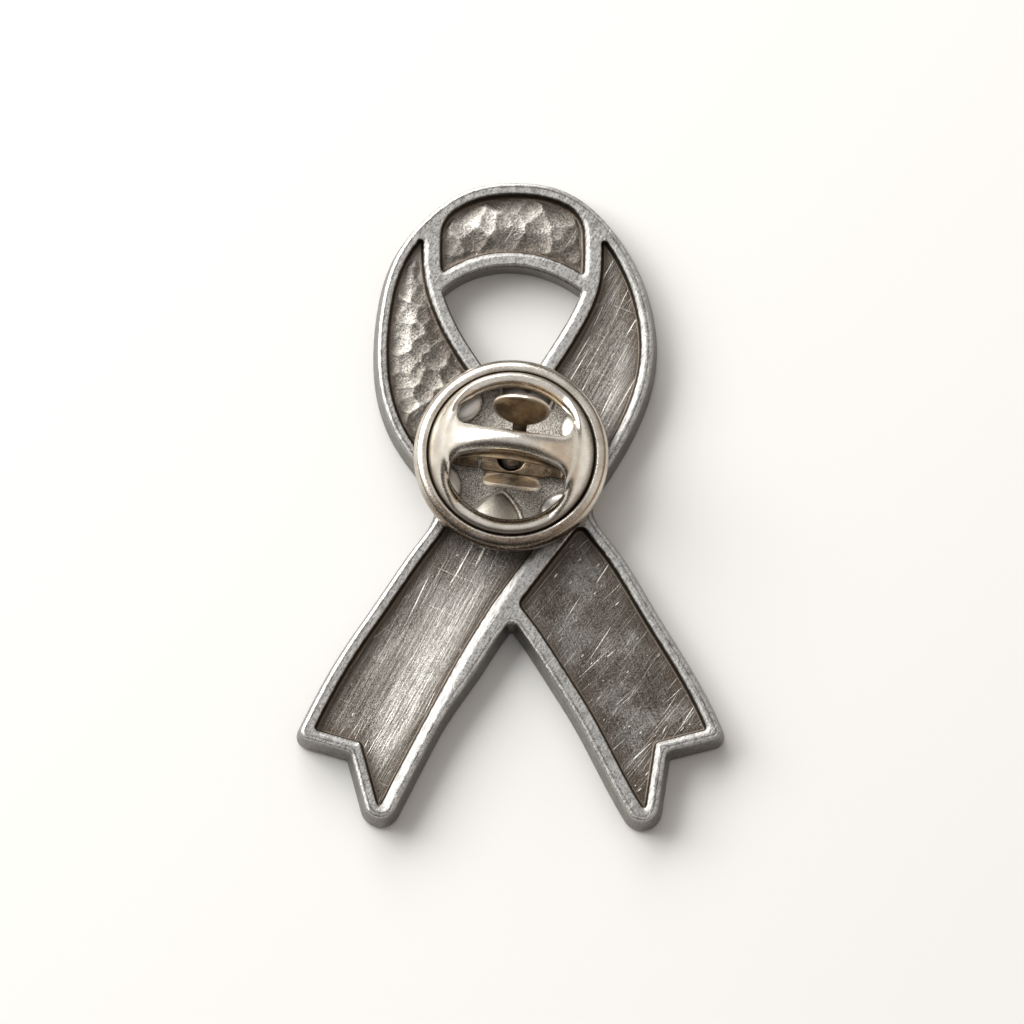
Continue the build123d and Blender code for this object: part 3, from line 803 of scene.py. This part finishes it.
def spring_loop():
    """The strip that rises from the spring's plate and passes under the bridge."""
    top_z, low_z, half, half_width, plate_z = 3.75, 2.3, 3.4, 0.9, 0.5
    ball = (half**2 + (top_z - low_z) ** 2) / (2 * (top_z - low_z))
    xs = np.linspace(-half + 0.45, half - 0.45, 40)
    arch = [(x, top_z - 0.12 - ball + math.sqrt(ball**2 - x**2)) for x in xs]
    end_z = arch[0][1]
    left = [
        (-1.9, plate_z), (-2.6, plate_z), (-3.0, plate_z), (-half + 0.22, 0.53), (-half + 0.14, 0.62),
        (-half + 0.12, 0.75), (-half + 0.12, 1.0), (-half + 0.12, 1.5), (-half + 0.14, end_z - 0.35),
        (-half + 0.19, end_z - 0.2), (-half + 0.30, end_z - 0.07),
    ]
    chain = left + arch + [(-x, z) for x, z in left][::-1]
    grid = [[(x, y, z) for y in np.linspace(-half_width, half_width, 9)] for x, z in chain]
    return strip_piece("spring_strip", grid, 0.22, 0.05)


def spring_plate():
    """The spring's plate, with the hole for the post."""
    rng = np.random.default_rng(31)
    middle, half_length, half_width, corner = 0.25, 3.95 / 2, 1, 0.25
    low, high = middle - half_length + corner, middle + half_length - corner
    side = half_width - corner
    outer = []
    for cx, cy, start in ((high, side, 0), (low, side, 90), (low, -side, 180), (high, -side, 270)):
        outer += arc_points((cx, cy), corner, start, start + 90, 8)
    outer = resampled(np.array(outer), 0.1)
    bore = circle(0.86, 64)
    extra = thinned(grid_points(outer, 0.16, rng), np.vstack([outer, bore]), 0.08)
    extra = extra[inside(extra, outer) & ~inside(extra, bore)]
    verts, faces, _ = triangulated([outer, bore], extra)
    dish = 0.02 * uneven(verts[:, 0], verts[:, 1], 4, 2.0)
    return rounded_sheet(new_object("spring_plate", np.column_stack([verts, 0.5 + dish]), faces), 0.26, 0.06)


def spring_piece():
    """The spring's plate and the loop that rises from it, as one piece."""
    loop, plate = spring_loop(), spring_plate()
    joined = bmesh.new()
    joined.from_mesh(loop.data)
    joined.from_mesh(plate.data)
    joined.to_mesh(loop.data)
    joined.free()
    bpy.data.objects.remove(plate)
    loop.data.polygons.foreach_set("use_smooth", [True] * len(loop.data.polygons))
    x, _, z = mesh_points(loop.data).T
    add_value(loop, "shade", np.maximum(smooth(1.7, 2.7, np.abs(x)) * 0.9, smooth(0.66, 0.9, z) * 0.4))
    return on_post(loop)


# A wing: its middle, its rolled foot, and its oval paddle, which leans outwards
WING_X = 0.3
FOOT_Y, FOOT_Z, FOOT_ROLL = 1.2, 0.49, 0.065
PADDLE_Y, PADDLE_Z = 1.6, 2.65
PADDLE_LEAN = math.radians(60)
PADDLE_LENGTH, PADDLE_WIDTH = 2.35, 3.4
NECK_HALF, BROAD_NECK_HALF = 0.42, 1.5   # half widths of the upper and the lower wing's neck
EDGE_HALF = 0.12                      # the least half width, at the paddle's tip

# Places of the rows of points along the paddle, closest at its ends
PADDLE_STEPS = [0.03, 0.08, 0.15, 0.24, 0.35, 0.5, 0.7, 0.95, 1.2,
                1.45, 1.65, 1.85, 2.0, 2.1, 2.2, 2.27, 2.31, 2.335]


def wing_chain(upper):
    """A wing's places from its foot to its top: distance from the post, height, half width."""
    chain = []
    for step in range(8):
        a = math.radians(-150 + step * 30)
        chain.append((FOOT_Y + FOOT_ROLL * math.cos(a), FOOT_Z + FOOT_ROLL * math.sin(a), 0.5))
    for t in np.linspace(0.12, 1.0, 10):
        neck = NECK_HALF if upper else BROAD_NECK_HALF
        chain.append((FOOT_Y + (PADDLE_Y - FOOT_Y) * t, FOOT_Z + (PADDLE_Z - FOOT_Z) * t, neck))
    middle = PADDLE_LENGTH / 2
    for s in PADDLE_STEPS:
        half = (PADDLE_WIDTH / 2) * math.sqrt(max(0.0, 1 - ((s - middle) / middle) ** 2))
        if upper and s < 0.12:
            half = max(half, NECK_HALF)
        elif not upper and s < 0.9:
            half = max(half, BROAD_NECK_HALF + 0.15 * s / 0.9)
        half = max(half, EDGE_HALF)
        chain.append((PADDLE_Y + s * math.cos(PADDLE_LEAN), PADDLE_Z + s * math.sin(PADDLE_LEAN), half))
    return chain


def wing_piece(side):
    """One wing of the spring: the upper one has a thin neck, and the lower one is a broad sheet."""
    grid = []
    for y, z, half in wing_chain(side > 0):
        row = []
        for u in np.linspace(-1, 1, 29):
            cup = 0.16 * (u * u) * (half / 1.7) ** 2 if z > PADDLE_Z else 0.0
            out, up = y + cup * math.sin(PADDLE_LEAN), z - cup * math.cos(PADDLE_LEAN)
            row.append((WING_X + u * half, side * out, up))
        grid.append(row)
    obj = strip_piece("spring_wing_upper_leaf" if side > 0 else "spring_wing_lower_leaf", grid, 0.2, 0.045)
    x, _, z = mesh_points(obj.data).T
    s = (z - PADDLE_Z) / math.sin(PADDLE_LEAN)
    middle = PADDLE_LENGTH / 2
    reach = np.sqrt(((x - WING_X) / (PADDLE_WIDTH / 2)) ** 2 + ((s - middle) / middle) ** 2)
    # edge: the paddle's rim, painted bright for wear and a painted highlight
    add_value(obj, "edge", smooth(0.90, 0.985, reach) * (s > 0.1))
    add_value(obj, "shade", smooth(0.35, -0.1, s))
    return on_post(obj)


# Materials

class Nodes:
    """Short calls for the nodes of one tree."""

    def __init__(self, tree):
        self.tree = tree

    def put(self, socket, value):
        """Link a socket, or set it; a colour is given without its alpha."""
        if isinstance(value, bpy.types.NodeSocket):
            self.tree.links.new(value, socket)
        elif socket.type == "RGBA":
            socket.default_value = (*value, 1)
        else:
            socket.default_value = value

    def node(self, kind, inputs, **settings):
        """The outputs of a new node, with its inputs linked or set by name or by number."""
        made = self.tree.nodes.new(kind)
        for key, value in settings.items():
            setattr(made, key, value)
        for key, value in inputs.items():
            self.put(made.inputs[key], value)
        return made.outputs

    def math(self, operation, first, second):
        return self.node("ShaderNodeMath", {0: first, 1: second}, operation=operation)[0]

    def times(self, *values):
        return reduce(lambda first, second: self.math("MULTIPLY", first, second), values)

    def plus(self, *values):
        return reduce(lambda first, second: self.math("ADD", first, second), values)

    def most(self, *values):
        return reduce(lambda first, second: self.math("MAXIMUM", first, second), values)

    def step(self, value, low, high, to_low=0.0, to_high=1.0):
        """A soft step of a value between two levels, from one result to another."""
        inputs = {"Value": value, "From Min": low, "From Max": high, "To Min": to_low, "To Max": to_high}
        return self.node("ShaderNodeMapRange", inputs, interpolation_type="SMOOTHSTEP")["Result"]


class Look(Nodes):
    """A material under construction, with short calls for its patterns and colours."""

    def __init__(self, name):
        self.material = bpy.data.materials.new(name)
        self.material.use_nodes = True
        super().__init__(self.material.node_tree)
        self.tree.nodes.clear()
        output = self.tree.nodes.new("ShaderNodeOutputMaterial")
        self.shader = self.tree.nodes.new("ShaderNodeBsdfPrincipled")
        self.tree.links.new(self.shader.outputs[0], output.inputs[0])
        self.coords = self.node("ShaderNodeTexCoord", {})["Object"]

    def value(self, name):
        """A number that the mesh gives for each of its points."""
        return self.node("ShaderNodeAttribute", {}, attribute_name=name)["Fac"]

    def space(self, turn=0, stretch=(1, 1), shift=(0, 0)):
        """Object coordinates in millimetres, turned about Z first, then stretched and shifted."""
        to_millimetres = (1 / MM, 1 / MM, 1 / MM)
        inputs = {"Vector": self.coords, "Rotation": (0, 0, math.radians(turn)), "Scale": to_millimetres}
        turned_by = self.node("ShaderNodeMapping", inputs)[0]
        inputs = {"Vector": turned_by, "Scale": (*stretch, 1), "Location": (*shift, 0)}
        return self.node("ShaderNodeMapping", inputs)[0]

    def noise(self, vector, scale, detail, rough, distort=0.0):
        inputs = {"Vector": vector, "Scale": scale, "Detail": detail, "Roughness": rough}
        inputs["Distortion"] = distort
        return self.node("ShaderNodeTexNoise", inputs)["Fac"]

    def grain(self, scale, detail, rough, shift=(0, 0), distort=0.0):
        """A pattern that is alike in all directions."""
        return self.noise(self.space(shift=shift), scale, detail, rough, distort)

    def brushed(self, turn, stretch, detail, rough, shift=(0, 0), distort=0.0):
        """A pattern drawn out along one direction."""
        return self.noise(self.space(turn, stretch, shift), 1.0, detail, rough, distort)

    def cut(self, turn, stretch, shift, low, high, distort=0.0):
        """Sparse marks drawn out along one direction."""
        return self.step(self.brushed(turn, stretch, 0.0, 0.5, shift, distort), low, high)

    def mix(self, share, first, second):
        return self.node("ShaderNodeMix", {"Factor": share, 6: first, 7: second}, data_type="RGBA")[2]

    def cover(self, tone, share, amount, colour):
        """A tone with a colour laid over it, by a share times an amount."""
        return self.mix(self.times(share, amount), tone, colour)

    def finish(self, tone, rough, relief, depth):
        """The material as a metal, with its relief's depth in millimetres."""
        bump = {"Height": relief, "Distance": depth * MM, "Strength": 1.0}
        self.put(self.shader.inputs["Base Color"], tone)
        self.put(self.shader.inputs["Roughness"], rough)
        self.put(self.shader.inputs["Metallic"], 1.0)
        self.put(self.shader.inputs["Normal"], self.node("ShaderNodeBump", bump)["Normal"])
        return self.material


def pewter_cuts(look, strand, tail):
    """The scratches: long ones on the strand, a few across it, and stray ones, hairlines and nicks."""
    long_cut = look.most(
        look.cut(-61, (0.12, 11.0), (3, 8), 0.77, 0.80),
        look.cut(-66, (0.2, 13.0), (9, 4), 0.79, 0.82),
    )
    cross_cut = look.cut(22, (0.35, 13.0), (11, 2), 0.78, 0.82)
    stray_cut = look.most(
        look.cut(-58, (0.22, 12.0), (5, 1), 0.785, 0.825, 0.5),
        look.cut(-44, (0.3, 14.0), (8, 3), 0.79, 0.83, 0.4),
    )
    hairline = look.cut(-52, (0.16, 16.0), (12, 4), 0.70, 0.78, 0.6)
    nick = look.cut(-50, (2.4, 10.0), (1, 6), 0.815, 0.84)
    return look.most(
        look.times(long_cut, look.plus(look.times(strand, 0.9), 0.05)),
        look.times(cross_cut, look.times(strand, 0.22)),
        look.times(stray_cut, look.plus(look.times(tail, 0.5), 0.2)),
        look.times(hairline, look.times(tail, 0.22)),
        look.times(nick, look.plus(look.times(tail, 0.4), 0.45)),
    )


def pewter_rims(look, speckle, cloud):
    """The tone of the rims: speckled and brushed, duller in clouds, with polished edges and a thin seam."""
    brush = look.brushed(-62, (1.5, 11.0), 2.0, 0.6)
    tone = look.mix(speckle, (0.22, 0.211, 0.197), (0.44, 0.433, 0.416))
    tone = look.cover(tone, look.step(brush, 0.42, 0.62), 0.45, (0.62, 0.612, 0.595))
    tone = look.cover(tone, look.step(cloud, 0.52, 0.70), 0.55, (0.19, 0.177, 0.16))
    polished = look.mix(look.step(brush, 0.40, 0.62), (0.22, 0.215, 0.205), (0.42, 0.415, 0.40))
    tone = look.cover(tone, look.value("polish"), 0.8, polished)
    uneven_line = look.step(cloud, 0.36, 0.58, 0.45, 0.95)
    return look.cover(tone, look.value("seam"), uneven_line, (0.07, 0.056, 0.044))


def hammered_tone(look, tone, speckle, worn_and_sheen):
    """The dark tone made paler where the panels are hammered, and bright on the facets that stand up."""
    hammer, height = look.value("hammer"), look.value("height")
    facets = look.mix(speckle, (0.16, 0.145, 0.125), (0.42, 0.395, 0.355))
    # hammered floors paler in the patches of wear and painted sheen
    tone = look.cover(tone, hammer, look.step(worn_and_sheen, 0.0, 0.9, 0.30, 0.65), facets)
    rubbed_and_sheen = look.times(hammer, look.step(worn_and_sheen, 0.0, 0.8, 0.35, 1.0))
    raised = look.times(look.step(height, 0.45, 1.0), rubbed_and_sheen)
    return look.cover(tone, raised, 0.7, (0.72, 0.685, 0.63))


def strand_tone(look, tone, brush, strand, worn_and_sheen):
    """The tone with the strand's streaks, furrows and bright lines."""
    fine = look.brushed(-63, (0.3, 20.0), 1.0, 0.6, (2, 7))
    streak = look.times(look.step(brush, 0.36, 0.64), strand, look.step(worn_and_sheen, 0.0, 0.8, 0.5, 1.25))
    tone = look.cover(tone, streak, 0.28, (0.62, 0.60, 0.56))
    furrow = look.times(look.step(fine, 0.52, 0.38), strand)
    tone = look.cover(tone, furrow, 0.5, (0.05, 0.042, 0.035))
    bright_line = look.times(look.step(fine, 0.60, 0.74), strand, look.step(worn_and_sheen, 0.0, 0.8, 0.5, 1.2))
    return look.cover(tone, bright_line, 0.5, (0.70, 0.68, 0.63))


def pewter():
    """Antiqued pewter: satin rims with wear over dark brown-grey panels, brushed, speckled and scratched,
    with painted sheen in patches and painted shade near the panels' walls.
    """
    look = Look("antiqued_pewter_look")
    floor, strand, tail = look.value("floor"), look.value("strand"), look.value("tail")
    grime_and_shade, worn_and_sheen = look.value("grime_and_shade"), look.value("worn_and_sheen")
    dots = look.grain(8.0, 2.0, 0.75)
    fine = look.grain(15.0, 2.0, 0.6, (7, 3))
    cloud = look.grain(1.3, 5.0, 0.65)
    blotch = look.grain(0.45, 5.0, 0.6, (4, 9))
    strand_brush = look.brushed(-62, (0.15, 6.5), 5.0, 0.78)
    tail_brush = look.brushed(64, (0.22, 12.0), 4.0, 0.7, (2, 5))
    speckle = look.step(look.plus(look.times(dots, 0.6), look.times(fine, 0.4)), 0.40, 0.60)
    cuts = pewter_cuts(look, strand, tail)

    dark = look.mix(speckle, (0.040, 0.032, 0.026), (0.16, 0.147, 0.130))
    dark = look.cover(dark, look.step(blotch, 0.45, 0.66), 0.55, (0.165, 0.16, 0.152))
    dark = hammered_tone(look, dark, speckle, worn_and_sheen)
    # the panels lightened in patches: wear and painted sheen
    rubbed_and_sheen = look.times(worn_and_sheen, look.step(cloud, 0.30, 0.62, 0.45, 1.0))
    dark = look.cover(dark, rubbed_and_sheen, 0.75, look.mix(speckle, (0.25, 0.24, 0.22), (0.58, 0.565, 0.53)))
    dark = strand_tone(look, dark, strand_brush, strand, worn_and_sheen)
    dark = look.cover(dark, look.times(look.step(tail_brush, 0.44, 0.68), tail), 0.23, (0.34, 0.335, 0.32))
    dark = look.cover(dark, look.times(look.step(blotch, 0.54, 0.40), tail), 0.55, (0.048, 0.039, 0.032))
    # grime and painted shade, darker towards the panels' walls
    dark = look.cover(dark, grime_and_shade, 0.66, (0.070, 0.054, 0.042))
    dark = look.mix(cuts, dark, (0.80, 0.77, 0.71))

    wall = look.mix(look.step(fine, 0.36, 0.64), (0.085, 0.072, 0.060), (0.20, 0.185, 0.165))
    wall = look.cover(wall, look.step(cloud, 0.45, 0.65), 0.5, (0.26, 0.245, 0.22))
    tone = look.mix(floor, pewter_rims(look, speckle, cloud), dark)
    # painted shade and patina at the foot of the panels' walls
    tone = look.cover(tone, look.value("foot"), 0.65, (0.17, 0.14, 0.11))
    tone = look.cover(tone, look.value("crevice"), 0.8, (0.050, 0.038, 0.028))
    tone = look.cover(tone, look.value("side"), 0.9, wall)

    rough = look.plus(look.step(dots, 0.3, 0.7, 0.27, 0.40), look.times(grime_and_shade, 0.12))
    rough = look.plus(rough, look.times(look.value("polish"), 0.2))
    relief = look.plus(look.times(dots, 0.8), look.times(fine, 0.4))
    relief = look.times(relief, look.plus(look.times(floor, 0.65), 0.35))
    relief = look.plus(relief, look.times(strand_brush, strand), look.times(tail_brush, tail, 0.5))
    relief = look.math("SUBTRACT", relief, look.times(cuts, 0.6))
    return look.finish(tone, rough, relief, 0.045)


def nickel_ground(look, low_tone, high_tone, low_rough, high_rough):
    """What both nickel pieces share: the specks, the warm uneven tone, the roughness and the relief."""
    cloud = look.grain(0.8, 4.0, 0.6)
    speck = look.grain(9.0, 3.0, 0.75)
    hair = look.brushed(25, (0.5, 12.0), 3.0, 0.6)
    tone = look.mix(look.step(cloud, 0.3, 0.7), low_tone, high_tone)
    tone = look.cover(tone, look.step(speck, 0.52, 0.70), 0.32, (0.30, 0.25, 0.20))
    relief = look.plus(look.times(speck, 0.5), look.times(hair, 0.15))
    return speck, tone, look.step(speck, 0.35, 0.75, low_rough, high_rough), relief


def nickel_base():
    """Satin nickel with a sandy floor, darker brown low on its wall, a painted dark reflection on the rim's
    side towards the tails, small leaves painted bright as painted light, and painted shade in their slits.
    """
    look = Look("nickel_base_look")
    speck, tone, rough, relief = nickel_ground(look, (0.50, 0.455, 0.39), (0.72, 0.68, 0.61), 0.18, 0.32)
    floor, leaf = look.value("floor"), look.value("leaf")
    mottle = look.grain(1.1, 4.0, 0.65, (5, 2))
    sand = look.grain(19.0, 2.0, 0.7)
    bare = look.times(floor, look.math("SUBTRACT", 1.0, leaf))
    sandy = look.mix(look.step(sand, 0.42, 0.58), (0.095, 0.084, 0.072), (0.84, 0.80, 0.73))
    tone = look.cover(tone, bare, 0.92, sandy)
    # darker brown towards the bottom of the pan's wall
    low_darkening = look.step(mottle, 0.30, 0.62, 0.45, 0.95)
    tone = look.cover(tone, look.value("low"), low_darkening, (0.17, 0.115, 0.075))
    # painted reflection of the dark room on the rim's side towards the tails
    dark_reflection = look.mix(look.step(speck, 0.42, 0.66), (0.11, 0.075, 0.050), (0.36, 0.26, 0.18))
    tone = look.cover(tone, look.value("under"), look.step(mottle, 0.30, 0.62, 0.72, 0.97), dark_reflection)
    tone = look.cover(tone, look.value("groove"), 0.9, (0.095, 0.070, 0.050))
    tone = look.cover(tone, leaf, look.step(speck, 0.40, 0.62, 0.15, 0.55), (0.36, 0.325, 0.28))
    # painted light: the small leaves painted bright, standing in for light the shell keeps off them
    tone = look.cover(tone, look.value("small_leaf"), 0.7, (0.95, 0.93, 0.89))
    # painted shade along the small leaves' slits
    tone = look.cover(tone, look.value("slit_shade"), 0.85, (0.040, 0.030, 0.022))
    rough = look.plus(rough, look.times(look.most(floor, leaf), 0.20))
    relief = look.plus(relief, look.times(sand, bare, 2.0))
    return look.finish(tone, rough, relief, 0.022)


def nickel_shell():
    """Polished warm nickel, dark in the groove round its foot, with painted shade on the lower slope of its
    bead and inside the turned-in edges of its windows.
    """
    look = Look("nickel_shell_look")
    _, tone, rough, relief = nickel_ground(look, (0.60, 0.555, 0.49), (0.78, 0.74, 0.67), 0.19, 0.31)
    foot = look.value("foot")
    # painted shade inside the turned-in edges of the windows
    tone = look.cover(tone, look.step(look.value("lip"), 0.45, 1.0), 0.75, (0.16, 0.12, 0.085))
    # dark groove, with painted shade on the bead's lower slope
    tone = look.cover(tone, foot, 0.96, (0.085, 0.062, 0.044))
    return look.finish(tone, look.plus(rough, look.times(foot, 0.3)), relief, 0.022)


def brass():
    """Aged spring brass, brown with golden patches, and bright at its edges, from wear and a painted
    highlight.
    """
    look = Look("spring_brass_look")
    cloud = look.grain(0.7, 3.0, 0.55, distort=0.5)
    speck = look.grain(9.0, 4.0, 0.75)
    tone = look.mix(look.step(cloud, 0.36, 0.62), (0.20, 0.15, 0.105), (0.60, 0.46, 0.30))
    tone = look.cover(tone, look.step(speck, 0.47, 0.66), 0.5, (0.15, 0.115, 0.085))
    tone = look.cover(tone, look.value("shade"), 0.65, (0.07, 0.05, 0.035))
    # painted highlight and wear along the paddles' edges
    tone = look.cover(tone, look.value("edge"), 0.9, (0.84, 0.77, 0.68))
    return look.finish(tone, look.step(speck, 0.3, 0.7, 0.24, 0.42), speck, 0.02)


def dress(obj, look, body, slot, *nodes):
    """A piece given its material, the body it rides, and the CAD nodes it replaces; its slot argument is not
    used.
    """
    obj.data.materials.clear()
    obj.data.materials.append(look)
    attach(obj, body)
    if nodes:
        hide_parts(*nodes)


pewter_look = pewter()
base_look = nickel_base()
shell_look = nickel_shell()
brass_look = brass()

dress(ribbon_piece(), pewter_look, "ribbon", "antiqued_pewter", "ribbon")
dress(post_piece(), pewter_look, "ribbon", "antiqued_pewter")
dress(base_piece(), base_look, "clutch", "nickel_base", "clutch_base")
dress(shell_piece(), shell_look, "clutch", "nickel_shell", "clutch_shell")
dress(spring_piece(), brass_look, "clutch", "spring_brass", "spring_clip")
dress(wing_piece(1), brass_look, "wing_upper", "spring_brass", "spring_wing_upper")
dress(wing_piece(-1), brass_look, "wing_lower", "spring_brass", "spring_wing_lower")


# Floor, light and camera, in metres

FLOOR_SIZE = 3.0
FLOOR_GAP = 0.00002                   # how far the floor lies below the pin
FLOOR_ROUGHNESS = 0.85

# Soft glows of the surroundings: direction, where each starts and is full as a cosine, colour
GLOWS = (
    ((0.0, 0.10, 1.0), 0.55, 0.99, (0.62, 0.62, 0.63)),
    ((-0.87, 0.40, 0.28), 0.55, 0.97, (1.15, 1.13, 1.10)),
    ((0.93, -0.14, 0.32), 0.55, 0.96, (0.66, 0.56, 0.47)),
    ((0.10, 0.90, 0.40), 0.50, 0.98, (0.30, 0.30, 0.30)),
)
DIM_GLOW = (0.072, 0.064, 0.056)      # what comes from every side

# Square lamps aimed at the pin: name, place, size, power in watts, colour
LAMPS = (
    ("key", (-0.32, 0.20, 0.29), 0.34, 2.8, (1.0, 0.99, 0.97)),
    ("back", (-0.10, 0.40, 0.24), 0.26, 1.3, (1.0, 0.99, 0.98)),
)

CAMERA_TARGET = (-0.000053, -0.000454, 0.00205)
CAMERA_DISTANCE = 0.65
CAMERA_ELEVATION = math.radians(77)
CAMERA_ROLL = math.radians(0.7)
SENSOR_WIDTH = 36.0                   # millimetres
VIEW_WIDTH = 1024 / 16.96 * MM        # width of the view at the pin, in metres


def studio_floor():
    """The plain pale floor that the pin lies on."""
    bpy.ops.mesh.primitive_plane_add(size=FLOOR_SIZE, location=(0, 0, -FLOOR_GAP))
    floor = bpy.context.object
    floor.name = "studio_floor"
    look = Look("studio_floor_look")
    tone = look.mix(look.noise(look.coords, 3.0, 2.0, 0.5), (0.62, 0.615, 0.60), (0.67, 0.665, 0.65))
    look.put(look.shader.inputs["Base Color"], tone)
    look.put(look.shader.inputs["Roughness"], FLOOR_ROUGHNESS)
    floor.data.materials.append(look.material)


def surroundings():
    """The world: a dim light from every side, and the glows."""
    world = bpy.data.worlds.new("studio")
    world.use_nodes = True
    sky = Nodes(world.node_tree)
    where = sky.node("ShaderNodeTexCoord", {})["Generated"]

    def vector_math(operation, inputs):
        return sky.node("ShaderNodeVectorMath", inputs, operation=operation)

    glows = []
    for direction, low, high, colour in GLOWS:
        aim = vector_math("DOT_PRODUCT", {0: where, 1: Vector(direction).normalized()})["Value"]
        glows.append(vector_math("SCALE", {0: colour, "Scale": sky.step(aim, low, high)})[0])
    total = reduce(lambda first, second: vector_math("ADD", {0: first, 1: second})[0], glows + [DIM_GLOW])
    sky.put(sky.tree.nodes["Background"].inputs["Color"], total)
    bpy.context.scene.world = world


def lamps():
    """The square lamps, each aimed at the pin."""
    for name, place, size, power, colour in LAMPS:
        lamp = bpy.data.lights.new(name, "AREA")
        lamp.shape = "SQUARE"
        lamp.size = size
        lamp.energy = power
        lamp.color = colour
        holder = bpy.data.objects.new(name, lamp)
        bpy.context.scene.collection.objects.link(holder)
        holder.location = place
        holder.rotation_euler = (-Vector(place)).to_track_quat("-Z", "Y").to_euler()


def camera():
    """A long lens above the pin, tilted a little towards its tails."""
    lens = bpy.data.cameras.new("camera")
    lens.sensor_width = SENSOR_WIDTH
    lens.lens = SENSOR_WIDTH * CAMERA_DISTANCE / VIEW_WIDTH
    lens.clip_start = 0.01
    lens.clip_end = 10
    holder = bpy.data.objects.new("camera", lens)
    bpy.context.scene.collection.objects.link(holder)
    back = Vector((0, -math.cos(CAMERA_ELEVATION), math.sin(CAMERA_ELEVATION)))
    place = Matrix.Translation(Vector(CAMERA_TARGET) + back * CAMERA_DISTANCE)
    look = (-back).to_track_quat("-Z", "Y").to_matrix().to_4x4()
    holder.matrix_world = place @ look @ Matrix.Rotation(CAMERA_ROLL, 4, "Z")
    bpy.context.scene.camera = holder


studio_floor()
surroundings()
lamps()
camera()
bpy.context.scene.view_settings.view_transform = "Standard"

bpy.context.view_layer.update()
